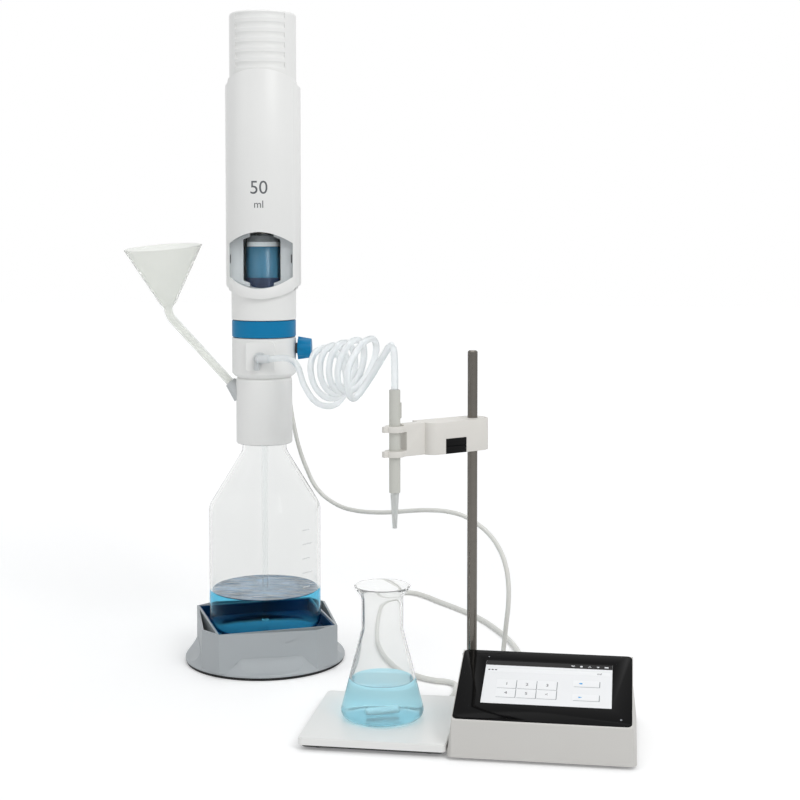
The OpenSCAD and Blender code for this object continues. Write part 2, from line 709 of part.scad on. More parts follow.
module screw_nut() color([0.78, 0.6, 0.25]) head() translate([0, 0, nut_z]) difference() {
    union() {
        cylinder(r = 10, h = nut_h);
        translate([-nut_w / 2, -5, 0]) linear_extrude(nut_h) round_rect(nut_w, 10, 4);
    }
    translate([0, 0, -1]) cylinder(r = screw_d / 2 + run, h = nut_h + 2);
    for (s = [-1, 1]) translate([s * guide_x, 0, -1])
        cylinder(r = guide_rod_d / 2 + run, h = nut_h + 2);
}

screw_low_z = piston_top_z + 3;

module lead_screw() color([0.7, 0.7, 0.72]) {
    translate([0, 0, screw_low_z]) cylinder(r = screw_d / 2, h = motor_plate_z - screw_low_z - 1);
    translate([0, 0, motor_plate_z - 2]) cylinder(r = 2.5, h = 20);
}

module barrel_collar() color([0.88, 0.88, 0.87]) head() translate([0, 0, barrel_top_z])
    difference() {
        cylinder(r = sleeve_d / 2 - sleeve_wall - 0.1, h = collar_h);
        translate([0, 0, -1]) cylinder(r = rod_tube_r + 0.5, h = collar_h + 2);
        for (s = [-1, 1]) translate([s * guide_x, 0, 1])
            cylinder(r = guide_rod_d / 2 + 0.02, h = collar_h);
    }

module guide_rods() color([0.75, 0.76, 0.78]) head() for (s = [-1, 1])
    translate([s * guide_x, 0, barrel_top_z + 1])
        cylinder(r = guide_rod_d / 2, h = motor_plate_z + 3 - barrel_top_z - 1);

module motor_plate() color([0.3, 0.31, 0.33]) head() translate([0, 0, motor_plate_z])
    difference() {
        cylinder(r = sleeve_d / 2 - sleeve_wall - 0.1, h = motor_plate_h);
        translate([0, 0, -1]) cylinder(r = 4, h = motor_plate_h + 2);
        for (s = [-1, 1]) translate([s * guide_x, 0, -1])
            cylinder(r = guide_rod_d / 2 + 0.02, h = 4);
    }

module motor() color([0.2, 0.2, 0.22]) head() translate([0, 0, motor_z]) difference() {
    intersection() {
        translate([-motor_w / 2, -motor_w / 2, 0]) cube([motor_w, motor_w, motor_h]);
        cylinder(r = top_cap_d / 2 - 2.8, h = motor_h);
    }
    translate([0, 0, -1]) cylinder(r = 2.5 + run, h = 24);
}

cap_wall = 2.2;
cap_edge_r = 3;
cap_skirt = 20;

module top_cap() color([0.94, 0.94, 0.93]) head() difference() {
    translate([0, 0, sleeve_top_z - cap_skirt]) rotate_extrude() difference() {
        polygon(concat([[0, 0], [top_cap_d / 2, 0]],
            arc([top_cap_d / 2 - cap_edge_r, cap_skirt + top_cap_rise - cap_edge_r],
                cap_edge_r, 0, 90),
            [[0, cap_skirt + top_cap_rise]]));
        translate([0, -1]) square([top_cap_d / 2 - cap_wall, cap_skirt + top_cap_rise - 2]);
    }
    for (i = [0:groove_count - 1]) translate([0, 0, top_cap_top_z - 4.4 - groove_pitch * i])
        rotate([0, 0, 270 - 48]) rotate_extrude(angle = 96)
            translate([top_cap_d / 2 + 3.1, 0]) circle(r = 4.2, $fn = 40);
}

// ---- head cable ----
module head_cable_gland() color([0.85, 0.85, 0.84]) head()
    translate([0, housing_r - 4, housing_z + 8]) rotate([-90, 0, 0]) {
        cylinder(r = 4.98, h = 4);
        translate([0, 0, 4.3]) cylinder(r = 6, h = 3);
        cylinder(r = 4, h = 5);
    }

module head_cable() color([0.85, 0.85, 0.84]) sweep(head_cable_route, head_cable_d);

module plug(x, d) {
    translate([x, box_y + box_d, plug_z]) rotate([-90, 0, 0]) {
        cylinder(r = 5.5, h = plug_len - 8);
        translate([0, 0, plug_len - 8]) cylinder(r1 = 4.6, r2 = d / 2 + 0.6, h = 8);
    }
}

module head_cable_plug() color([0.15, 0.15, 0.16]) plug(head_plug_x, head_cable_d);

// ---- control unit ----
base_cover_t = 2.5;
box_corner_r = 5;

module box_plan(inset) {
    translate([inset, inset]) round_rect(box_w - 2 * inset, box_d - 2 * inset, box_corner_r);
}

module control_housing() color([0.8, 0.8, 0.78]) difference() {
    intersection() {
        at_box() translate([0, 0, box_z]) linear_extrude(80) box_plan(0);
        at_box() rotate([90, 0, 90]) linear_extrude(box_w) polygon([
            [0, 0], [0, box_front_h - 0.6], [1, box_front_h],
            [1 + panel_l * cos(panel_slope), box_front_h + panel_l * sin(panel_slope)],
            [3 + panel_l * cos(panel_slope), box_front_h + panel_l * sin(panel_slope) - 0.4],
            [box_d - deck_l - 2, box_deck_z + 1], [box_d - deck_l, box_deck_z],
            [box_d - 1, box_deck_z], [box_d, box_deck_z - 1], [box_d, 0]]);
    }
    // seat of the glass panel
    on_slope() translate([(box_w - panel_w) / 2 - 0.1, 0.3, -panel_t]) linear_extrude(20)
        round_rect(panel_w + 0.2, panel_l + 0.2, 4);
    // pocket of the display behind the glass
    on_slope() translate([display_x - 0.2, display_y - 0.2, -display_t - 0.1])
        cube([display_w + 0.4, display_l + 0.4, display_t + 1]);
    at_rod() translate([0, 0, 14]) cylinder(r = rod_d / 2 + 0.02, h = 80);
    // recess of the base cover
    at_box() translate([0, 0, box_z - 1]) linear_extrude(1 + base_cover_t + 0.1) box_plan(4);
}

module control_base_cover() color([0.55, 0.55, 0.54]) at_box() translate([0, 0, box_z])
    linear_extrude(base_cover_t) box_plan(4.15);

display_t = 4;
display_x = (box_w - panel_w) / 2 + 19;
display_y = 21.6;

module touch_panel() color([0.04, 0.04, 0.045]) on_slope() difference() {
    translate([(box_w - panel_w) / 2, 0.4, -panel_t]) linear_extrude(panel_t + 0.3)
        round_rect(panel_w, panel_l, 4);
    translate([display_x, display_y, -panel_t - 1]) cube([display_w, display_l, 20]);
}

module display_module() color([0.85, 0.87, 0.88]) on_slope()
    translate([display_x + 0.1, display_y + 0.1, -display_t])
        cube([display_w - 0.2, display_l - 0.2, display_t + 0.2]);

module control_feet() color([0.1, 0.1, 0.1]) at_box()
    for (x = [14, box_w - 14]) for (y = [14, box_d - 14]) translate([x, y, 0])
        cylinder(r1 = 5.5, r2 = 6, h = foot_h);

module rod_socket() color([0.25, 0.25, 0.26]) at_rod() translate([0, 0, box_deck_z])
    tube(socket_r, socket_h, rod_d / 2 + 0.02);

module support_rod() color([0.6, 0.6, 0.58]) at_rod() translate([0, 0, 14]) {
    cylinder(r = rod_d / 2, h = rod_top_z - 15);
    translate([0, 0, rod_top_z - 15]) cylinder(r1 = rod_d / 2, r2 = rod_d / 2 - 1, h = 1);
}

// ---- stirrer ----
module stirrer_plan(inset) {
    translate([inset, inset]) round_rect(stirrer_w - 0.4 - 2 * inset, box_d - 2 * inset, 4);
}

module at_stirrer() { translate([stirrer_x, box_y, 0]) children(); }

module stirrer_top() color([0.9, 0.9, 0.89]) at_stirrer() {
    base_z = foot_h + stirrer_plinth_h;
    translate([0, 0, base_z]) linear_extrude(stirrer_h - base_z - 0.6) stirrer_plan(0);
    translate([0, 0, stirrer_h - 0.6]) linear_extrude(0.6) stirrer_plan(0.6);
}

module stirrer_base() color([0.2, 0.2, 0.2]) at_stirrer() translate([0, 0, foot_h])
    linear_extrude(stirrer_plinth_h) stirrer_plan(2.5);

module stirrer_feet() color([0.1, 0.1, 0.1]) at_stirrer()
    for (x = [14, stirrer_w - 14]) for (y = [14, box_d - 14]) translate([x, y, 0])
        cylinder(r1 = 5.5, r2 = 6, h = foot_h);

module stirrer_cable_gland() color([0.8, 0.8, 0.79])
    translate([stirrer_gland_x, box_y + box_d, stirrer_gland_z + 1]) rotate([-90, 0, 0])
        cylinder(r1 = 3.3, r2 = 2.9, h = 6);

module stirrer_cable() color([0.85, 0.85, 0.84]) sweep(stirrer_cable_route, stirrer_cable_d);

module stirrer_cable_plug() color([0.15, 0.15, 0.16]) plug(stir_plug_x, stirrer_cable_d);

// ---- flask ----
function flask_outline(t) =
    let (
        rb = flask_d / 2, rn = flask_neck_d / 2, heel = 6,
        neck_at = flask_h * 0.68,
        lean = atan2(rb - rn, neck_at - heel)
    )
    concat(
        [[0, t]],
        arc([rb - heel, heel], heel - t, -90, lean, 6),
        arc([rn + 10, neck_at], 10 + t, 180 + lean, 180, 4),
        [[rn - t, flask_h - 12]],
        arc([rn + 9, flask_h - 12], 9 + t, 180, 138, 4));

module flask() color([0.85, 0.9, 0.92, 0.35]) translate([flask_x, flask_y, stirrer_h])
    rotate_extrude() difference() {
        polygon(concat(flask_outline(0), [[flask_neck_d / 2 + 5, flask_h - 2],
            [flask_neck_d / 2 + 5, flask_h], [0, flask_h]]));
        polygon(concat(flask_outline(flask_wall), [[flask_neck_d / 2 + 3, flask_h + 1],
            [0, flask_h + 1]]));
    }

module sample() color([0.65, 0.82, 0.9, 0.6]) translate([flask_x, flask_y, stirrer_h])
    difference() {
        rotate_extrude() intersection() {
            polygon(concat(flask_outline(flask_wall + 0.1), [[0, flask_h]]));
            square([flask_d, sample_h]);
        }
        // room in which the stir bar turns
        translate([0, 0, flask_wall]) cylinder(r = stir_bar_l / 2 + 1, h = 8);
    }

module stir_bar() color([0.95, 0.95, 0.95])
    translate([flask_x, flask_y, stirrer_h + flask_wall + 3.1]) rotate([0, 90, 25]) {
        translate([0, 0, -stir_bar_l / 2 + 3]) cylinder(r = 3, h = stir_bar_l - 6);
        for (s = [-1, 1]) translate([0, 0, s * (stir_bar_l / 2 - 3)]) sphere(r = 3);
    }

// ---- tip holder ----
bush_ro = 8;
flange_h = 2.4;
flange_r = 10;
ring_ro = tip_d / 2 + 3.4;
clip_h = 4.6;
lever_x = 15;
lever_w = 20;
lever_h = 12;
lever_d = 4;
lever_travel = 2;
body_l = arm_reach - 25;

module clamp_bush() color([0.3, 0.3, 0.31]) at_rod() translate([0, 0, arm_z]) difference() {
    union() {
        cylinder(r = bush_ro, h = arm_h);
        for (z = [0, arm_h - flange_h]) translate([0, 0, z]) cylinder(r = flange_r, h = flange_h);
    }
    translate([0, 0, -20]) cylinder(r = rod_d / 2 + run, h = 100);
}

module holder_arm() color([0.86, 0.85, 0.83]) in_arm() difference() {
    union() {
        // the body: a round end about the rod and a rounded far shoulder
        linear_extrude(arm_h) {
            circle(d = arm_end_d);
            translate([0, -arm_end_d / 2]) square([body_l - 8, arm_end_d]);
            translate([0, -arm_end_d / 2]) square([body_l, arm_end_d - 8]);
            translate([body_l - 8, arm_end_d / 2 - 8]) circle(r = 8);
        }
        // the web to the clip rings
        linear_extrude(arm_h) translate([body_l - 1, -5]) square([arm_reach - body_l - 4, 10]);
        for (z = [0, arm_h - clip_h - 1.2]) translate([0, 0, z]) linear_extrude(clip_h) {
            translate([arm_reach, 0]) circle(r = ring_ro);
            translate([arm_reach - 10, -5]) square([10, 10]);
            translate([arm_reach + ring_ro - 1, -1.8]) square([4, 3.6]);
        }
    }
    translate([0, 0, -1]) cylinder(r = bush_ro + run, h = arm_h + 2);
    // recesses of the bush's two flanges
    for (z = [-1, arm_h - flange_h - gap]) translate([0, 0, z])
        cylinder(r = flange_r + gap, h = flange_h + gap + 1);
    translate([arm_reach, 0, -1]) cylinder(r = tip_d / 2 + 0.05, h = arm_h + 2);
    // recessed window between the clip rings
    translate([arm_reach - 8, -20, clip_h]) cube([20, 40, arm_h - 2 * clip_h - 1.2]);
    // cut-out of the release lever
    translate([lever_x, arm_end_d / 2 - lever_d - lever_travel - gap, -1])
        cube([lever_w, 20, lever_h + 1]);
}

module release_lever() color([0.04, 0.04, 0.04]) in_arm()
    translate([lever_x + gap, arm_end_d / 2 - lever_d, 0]) {
        cube([lever_w - 2 * gap, lever_d, lever_h / 2 - 0.4]);
        translate([0, 0, lever_h / 2]) cube([lever_w - 2 * gap, lever_d, lever_h / 2 - gap]);
        cube([lever_w - 2 * gap, lever_d - 1.2, lever_h - gap]);
    }

module tip_body() color([0.78, 0.78, 0.76]) at_tip() difference() {
    union() {
        translate([0, 0, tip_z]) cylinder(r = tip_d / 2, h = tip_body_l);
        translate([0, -1.5, tip_top_z - 22]) cube([tip_d / 2 + 0.8, 3, 12]);
    }
    translate([0, 0, tip_z - 1]) cylinder(r = tip_d / 2 - 2.2, h = 9);
    translate([0, 0, tip_z]) cylinder(r = 1.2, h = tip_body_l - 8);
    translate([0, 0, tip_top_z - 9]) cylinder(r = tube_d / 2, h = 10);
}

module tip_nozzle() color([0.85, 0.87, 0.86]) at_tip() difference() {
    union() {
        translate([0, 0, tip_z - nozzle_l]) cylinder(r1 = 1.7, r2 = 3.4, h = nozzle_l);
        translate([0, 0, tip_z - 0.01]) cylinder(r = tip_d / 2 - 2.25, h = 7);
    }
    translate([0, 0, tip_z - nozzle_l - 1]) cylinder(r = 0.8, h = nozzle_l + 9);
}

// ---- dosing tube ----
module dosing_tube_lead() color([0.85, 0.9, 0.93, 0.6]) sweep(tube_lead_route, tube_d);

// outer shape of the coiled length
module dosing_tube_coil() color([0.85, 0.9, 0.93, 0.6]) hull() {
    translate(coil_from) rotate([0, 90, coil_yaw]) cylinder(r = coil_r_from, h = tube_d, $fn = 32);
    translate(coil_to) rotate([0, 90, coil_yaw]) translate([0, 0, -tube_d])
        cylinder(r = coil_r_to, h = tube_d, $fn = 32);
}

module dosing_tube_drop() color([0.85, 0.9, 0.93, 0.6]) sweep(tube_drop_route, tube_d);

stand_shell();
stand_foot_pad();
bottle_cradle();
reagent_bottle();
reagent();
dip_tube();
neck_adapter();
port_bush();
refill_funnel();
valve_block();
outlet_elbow();
valve_spindle();
valve_knob();
lock_ring();
lower_housing();
main_sleeve();
window_cover();
glass_barrel();
barrel_charge();
piston();
piston_seal();
piston_rod();
screw_nut();
lead_screw();
barrel_collar();
guide_rods();
motor_plate();
motor();
top_cap();
head_cable_gland();
head_cable();
head_cable_plug();
control_housing();
control_base_cover();
touch_panel();
display_module();
control_feet();
rod_socket();
support_rod();
stirrer_top();
stirrer_base();
stirrer_feet();
stirrer_cable_gland();
stirrer_cable();
stirrer_cable_plug();
flask();
sample();
stir_bar();
clamp_bush();
holder_arm();
release_lever();
tip_body();
tip_nozzle();
dosing_tube_lead();
dosing_tube_coil();
dosing_tube_drop();
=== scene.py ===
from math import atan2, cos, degrees, radians, sin, tan

import bpy
from bpy.props import FloatProperty, FloatVectorProperty, IntProperty, PointerProperty
from mathutils import Matrix, Vector


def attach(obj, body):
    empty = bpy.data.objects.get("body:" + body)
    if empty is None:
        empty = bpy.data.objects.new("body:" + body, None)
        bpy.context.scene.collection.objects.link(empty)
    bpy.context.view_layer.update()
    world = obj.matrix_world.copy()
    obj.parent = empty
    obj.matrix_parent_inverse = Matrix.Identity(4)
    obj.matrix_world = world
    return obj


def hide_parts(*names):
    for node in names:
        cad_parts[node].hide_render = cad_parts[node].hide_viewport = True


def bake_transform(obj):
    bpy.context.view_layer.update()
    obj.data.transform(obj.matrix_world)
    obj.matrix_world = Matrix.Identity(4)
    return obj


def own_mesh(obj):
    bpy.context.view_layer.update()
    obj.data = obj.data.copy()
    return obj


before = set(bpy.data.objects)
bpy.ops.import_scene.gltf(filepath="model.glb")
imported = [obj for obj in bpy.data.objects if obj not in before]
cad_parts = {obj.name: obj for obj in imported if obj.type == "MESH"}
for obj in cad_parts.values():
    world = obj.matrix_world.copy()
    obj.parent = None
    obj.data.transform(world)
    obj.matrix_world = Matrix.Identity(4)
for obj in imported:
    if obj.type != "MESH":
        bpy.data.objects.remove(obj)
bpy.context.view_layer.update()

bl_info = {
    "name": "Automatic titrator",
    "version": (1, 0, 0),
    "blender": (4, 5, 0),
    "location": "3D View > Sidebar > Titrator",
    "description": "Dresses a motor burette with its bottle, control unit, stirrer and flask",
    "category": "Add Mesh",
}

MM = 0.001


# ---- places shared by the pieces, in millimetres ----

HEAD_YAW = 7
BOX_AT = (195, -232)
UNIT_W, UNIT_D = 140, 116
STAND_FLAT = 289.3  # the way that the first flat of the stand faces, in degrees
ROD_AT = (203, -127)
ARM_YAW, ARM_REACH = 222.8, 75
TIP_AT = (
    ROD_AT[0] + ARM_REACH * cos(radians(ARM_YAW)),
    ROD_AT[1] + ARM_REACH * sin(radians(ARM_YAW)),
)
FLASK_AT = (137.5, -174)
BOTTLE_Z = 28
WINDOW_Z = 363.9
SLEEVE_R = 33.75

# radii and heights of the bottle and the flask, and how deep they are filled
BOTTLE_R, BOTTLE_NECK_R, HEEL_R, BEND_R = 50.5, 20, 9, 16
BODY_H, SHOULDER_H, BOTTLE_H = 113, 50, 206
FLASK_R, FLASK_NECK_R, FLASK_HEEL_R, FLASK_CONE_H = 32.5, 16.3, 6, 70.72
REAGENT_DEPTH, SAMPLE_DEPTH = 36.8, 30.6

# the control unit's leaning walls: how high, how wide a band of each side, how far
WALL_TOP, WALL_BAND, SIDE_LEAN, FRONT_LEAN = 30, 3.8, 3.3, 3.2

# the recessed cheeks beside the window, painted a darker grey as shade, and how far inside the
# sleeve's wall they begin
CHEEK_LOW, CHEEK_TOP, CHEEK_BACK, CHEEK_IN = 336, 392, -9, 1.6

HEAD_CABLE_ROUTE = [
    (8, 34, 312), (9, 40, 303), (10, 44, 286), (11, 45, 262), (13, 45, 235), (17, 45, 208),
    (23, 44.5, 184), (30, 44, 166), (37, 42, 153), (45, 39.5, 144.5), (54, 36, 139),
    (65, 30.5, 135), (80, 22, 133.5), (96, 14, 134), (116, 4, 136.5), (136, -6.5, 140.5),
    (156, -17, 143.5), (175, -27, 144), (187, -33.5, 142), (199, -41, 137), (210, -49.5, 130),
    (219, -58, 120), (225, -66, 108), (228, -73, 94), (228.5, -78, 79), (227, -81, 62),
    (225.5, -82, 47), (224.5, -85, 35), (224, -90, 28), (224, -98, 26),
]
STIRRER_CABLE_ROUTE = [
    (185, -110, 5.6), (185, -100, 5), (184.5, -88, 3.2), (184, -74, 2.5), (181.5, -62, 2.5),
    (175, -56, 2.5), (163, -53.5, 2.5), (149, -46, 2.5), (133, -31, 2.5), (119, -10, 2.5),
    (106, 18, 2.5), (95, 50, 2.5), (87, 85, 2.5), (81, 125, 2.5), (77, 165, 2.5),
    (76, 203, 2.5), (79, 230, 2.5), (87, 244, 2.5), (99, 246, 2.5), (114, 235, 2.5),
    (133, 213, 2.5), (156, 187, 2.5), (179, 157, 2.5), (201, 117, 2.5), (219, 74, 2.5),
    (231, 30, 2.5), (238, -14, 2.5), (240, -50, 3.5), (240, -70, 9), (240, -84, 19),
    (240, -98, 26),
]
TUBE_LEAD_ROUTE = [
    (14, -37.5, 277), (21, -38, 278.3), (28, -38.6, 278.6), (34, -40, 277.3), (39.2, -42, 274),
    (42.4, -44.5, 269), (45, -47.5, 263), (48.2, -51, 256.5),
]
# the coil, as values at its start, middle and end: centre, radius, the turns' lean
# to the right and the way that they face
COIL_X, COIL_Y, COIL_Z = (63.6, 89.5, 121.3), (-38, -94, -150), (260.9, 276.4, 284)
COIL_R, COIL_LEAN, COIL_FACE = (27.7, 20.6, 27.3), (-18.6, 6.3, 45.5), (29.5, 26.3, 15.9)
TUBE_RISE_ROUTE = [
    (111.6, -175.5, 264.5), (113, -168, 259.5), (115.5, -161, 260.6), (119, -157, 265.8),
    (122.8, -156, 271.6), (126.6, -158, 277), (130.6, -162, 283),
]
TUBE_END_ROUTE = [
    (135.2, -167, 289.6), (139.4, -171.5, 295.8), (142.6, -174.8, 300.4), (145, -176.8, 302.2),
    (146.8, -177.6, 299.6), (147.6, -177.9, 294), (147.9, -178, 286),
]


# ---- handling of objects ----


def put_down():
    """Leaves edit mode with nothing selected."""
    if bpy.context.mode != "OBJECT":
        bpy.ops.object.mode_set(mode="OBJECT")
    bpy.ops.object.select_all(action="DESELECT")


def pick_up(*pieces):
    """Selects these objects alone, the first one active."""
    put_down()
    for piece in pieces:
        piece.select_set(True)
    bpy.context.view_layer.objects.active = pieces[0]
    return pieces[0]


def work_on(piece):
    """Opens a mesh in edit mode with all of it selected."""
    pick_up(piece)
    bpy.ops.object.mode_set(mode="EDIT")
    bpy.ops.mesh.select_all(action="SELECT")


def close_up(piece, gap=1e-6):
    """Merges what meets and points the faces outwards."""
    work_on(piece)
    bpy.ops.mesh.remove_doubles(threshold=gap)
    bpy.ops.mesh.normals_make_consistent(inside=False)
    put_down()
    return piece


def set_in(piece, place):
    """Puts a piece where it belongs, with its place kept in its mesh."""
    piece.matrix_world = place
    pick_up(piece)
    bpy.ops.object.transform_apply(location=True, rotation=True, scale=True)
    return piece


def modify(piece, kind, **settings):
    """Adds a modifier and applies it."""
    pick_up(piece)
    made = piece.modifiers.new(kind.title(), kind)
    for key, value in settings.items():
        setattr(made, key, value)
    bpy.ops.object.modifier_apply(modifier=made.name)
    return piece


def ease_edges(piece, width, segments=2, angle=40):
    """Rounds the sharp edges by a width in millimetres."""
    return modify(
        piece, "BEVEL", width=width * MM, segments=segments, limit_method="ANGLE",
        angle_limit=radians(angle), harden_normals=False,
    )


def smooth(piece, angle=35):
    pick_up(piece)
    bpy.ops.object.shade_smooth_by_angle(angle=radians(angle))
    return piece


def merge_pieces(name, pieces):
    pick_up(*pieces)
    if len(pieces) > 1:
        bpy.ops.object.join()
    made = bpy.context.view_layer.objects.active
    made.name = made.data.name = name
    put_down()
    return made


def on_body(piece, body, slot, material, *nodes):
    """Gives a piece its finish and its body, and hides the CAD nodes that it stands for."""
    piece.data.materials.clear()
    piece.data.materials.append(material)
    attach(piece, body)
    if nodes:
        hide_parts(*nodes)
    return piece


def at(x=0.0, y=0.0, z=0.0):
    return Matrix.Translation(Vector((x, y, z)) * MM)


def turn(angle, axis):
    return Matrix.Rotation(radians(angle), 4, axis)


# places of the burette head, its refill port and the control unit's sloped top
HEAD = turn(HEAD_YAW, "Z")
PORT = HEAD @ at(-31, 0, 253) @ turn(-42.6, "Y")
SLOPE = at(*BOX_AT, 0) @ at(0, 1, 30) @ turn(17.2, "X")


# ---- shapes that several pieces start from ----


def arc(centre, r, start, end, steps=8):
    """Points along an arc of an outline, from one angle to another, in degrees."""
    return [
        (
            centre[0] + r * cos(radians(start + (end - start) * i / steps)),
            centre[1] + r * sin(radians(start + (end - start) * i / steps)),
        )
        for i in range(steps + 1)
    ]


def thread(name, points):
    """One vertex pulled out along points given in millimetres."""
    put_down()
    bpy.ops.mesh.primitive_circle_add(vertices=3, radius=0.001)
    piece = bpy.context.object
    piece.name = piece.data.name = name
    bpy.ops.object.mode_set(mode="EDIT")
    bpy.ops.mesh.select_all(action="SELECT")
    bpy.ops.mesh.merge(type="CENTER")
    bpy.ops.transform.translate(value=Vector(points[0]) * MM)
    for a, b in zip(points, points[1:]):
        step = (Vector(b) - Vector(a)) * MM
        bpy.ops.mesh.extrude_vertices_move(TRANSFORM_OT_translate={"value": step})
    put_down()
    return piece


def turned(name, outline, steps=96, angle=360):
    """Spins an outline of (radius, height) points round the vertical."""
    piece = thread(name, [(r, 0, z) for r, z in outline])
    work_on(piece)
    bpy.ops.mesh.spin(steps=steps, angle=radians(angle), center=(0, 0, 0), axis=(0, 0, 1))
    return close_up(piece)


def plate(name, outline, thickness):
    """A flat outline of (x, y) points raised to a thickness."""
    piece = thread(name, [(x, y, 0) for x, y in outline])
    work_on(piece)
    bpy.ops.mesh.edge_face_add()
    bpy.ops.mesh.extrude_region_move(
        TRANSFORM_OT_translate={"value": (0, 0, thickness * MM)}
    )
    return close_up(piece)


def slab(name, w, d, r, thickness, steps=6):
    """A rounded rectangle from the origin, raised to a thickness."""
    return plate(
        name,
        arc((w - r, d - r), r, 0, 90, steps) + arc((r, d - r), r, 90, 180, steps)
        + arc((r, r), r, 180, 270, steps) + arc((w - r, r), r, 270, 360, steps)[:-1],
        thickness,
    )


def from_node(name, node, bevel=0.0, angle=40, segments=2):
    """A copy of a CAD solid with its triangles merged and its edges eased."""
    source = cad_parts[node]
    piece = bpy.data.objects.new(name, source.data.copy())
    piece.data.name = name
    bpy.context.scene.collection.objects.link(piece)
    pick_up(piece)
    if piece.data.has_custom_normals:
        bpy.ops.mesh.customdata_custom_splitnormals_clear()
    work_on(piece)
    bpy.ops.mesh.remove_doubles(threshold=2e-6)
    bpy.ops.mesh.dissolve_limited(angle_limit=radians(0.6))
    put_down()
    if bevel:
        ease_edges(piece, bevel, segments, angle)
    smooth(piece, 30)
    return piece


def through(points, step):
    """A smooth line through points, in millimetres, at about even steps."""
    pts = [Vector(p) for p in points]
    pts = [2 * pts[0] - pts[1]] + pts + [2 * pts[-1] - pts[-2]]
    line = []
    for i in range(1, len(pts) - 2):
        a, b, c, d = pts[i - 1 : i + 3]
        n = max(1, round((c - b).length / step))
        for k in range(n):
            t = k / n
            line.append(
                0.5 * (2 * b + (c - a) * t + (2 * a - 5 * b + 4 * c - d) * t**2
                       + (3 * b - a - 3 * c + d) * t**3)
            )
    return line + [pts[-2]]


def strand(name, points, diameter, kind="BEZIER", radii=None, sides=4):
    """A round line along points in millimetres: a cable, a tube or a funnel's outline."""
    data = bpy.data.curves.new(name, "CURVE")
    data.dimensions = "3D"
    data.bevel_depth = diameter / 2 * MM
    data.bevel_resolution = sides
    data.resolution_u = data.render_resolution_u = 6
    data.use_fill_caps = radii is None
    spline = data.splines.new(kind)
    if kind == "BEZIER":
        spline.bezier_points.add(len(points) - 1)
        for knot, p in zip(spline.bezier_points, points):
            knot.co = Vector(p) * MM
            knot.handle_left_type = knot.handle_right_type = "AUTO"
    else:
        spline.points.add(len(points) - 1)
        for i, (knot, p) in enumerate(zip(spline.points, points)):
            knot.co = (*(Vector(p) * MM), 1)
            knot.radius = radii[i] if radii else 1
    piece = bpy.data.objects.new(name, data)
    bpy.context.scene.collection.objects.link(piece)
    return piece


def as_mesh(piece):
    pick_up(piece)
    bpy.ops.object.convert(target="MESH")
    put_down()
    return piece


def lettering(text, size, thickness=0.04):
    """Plain characters as a mesh in the XY plane, centred on the origin."""
    put_down()
    bpy.ops.object.text_add()
    piece = bpy.context.object
    piece.data.body = text
    piece.data.size = size * MM
    piece.data.align_x, piece.data.align_y = "CENTER", "CENTER"
    piece.data.extrude = thickness / 2 * MM
    return as_mesh(piece)


def wrapped(piece, r, height, cuts=2):
    """Lays a flat piece on the front of an upright round wall."""
    work_on(piece)
    bpy.ops.mesh.subdivide(number_cuts=cuts)
    put_down()
    for v in piece.data.vertices:
        x, y, lift = v.co
        out = r * MM + lift + 0.00002
        v.co = (out * sin(x / (r * MM)), -out * cos(x / (r * MM)), y + height * MM)
    return piece


# ---- finishes ----


def paint(r, g, b):
    """A colour given from 0 to 255 as the shader wants it."""
    return tuple(
        v / 12.92 if v <= 0.04045 else ((v + 0.055) / 1.055) ** 2.4
        for v in (r / 255, g / 255, b / 255)
    )


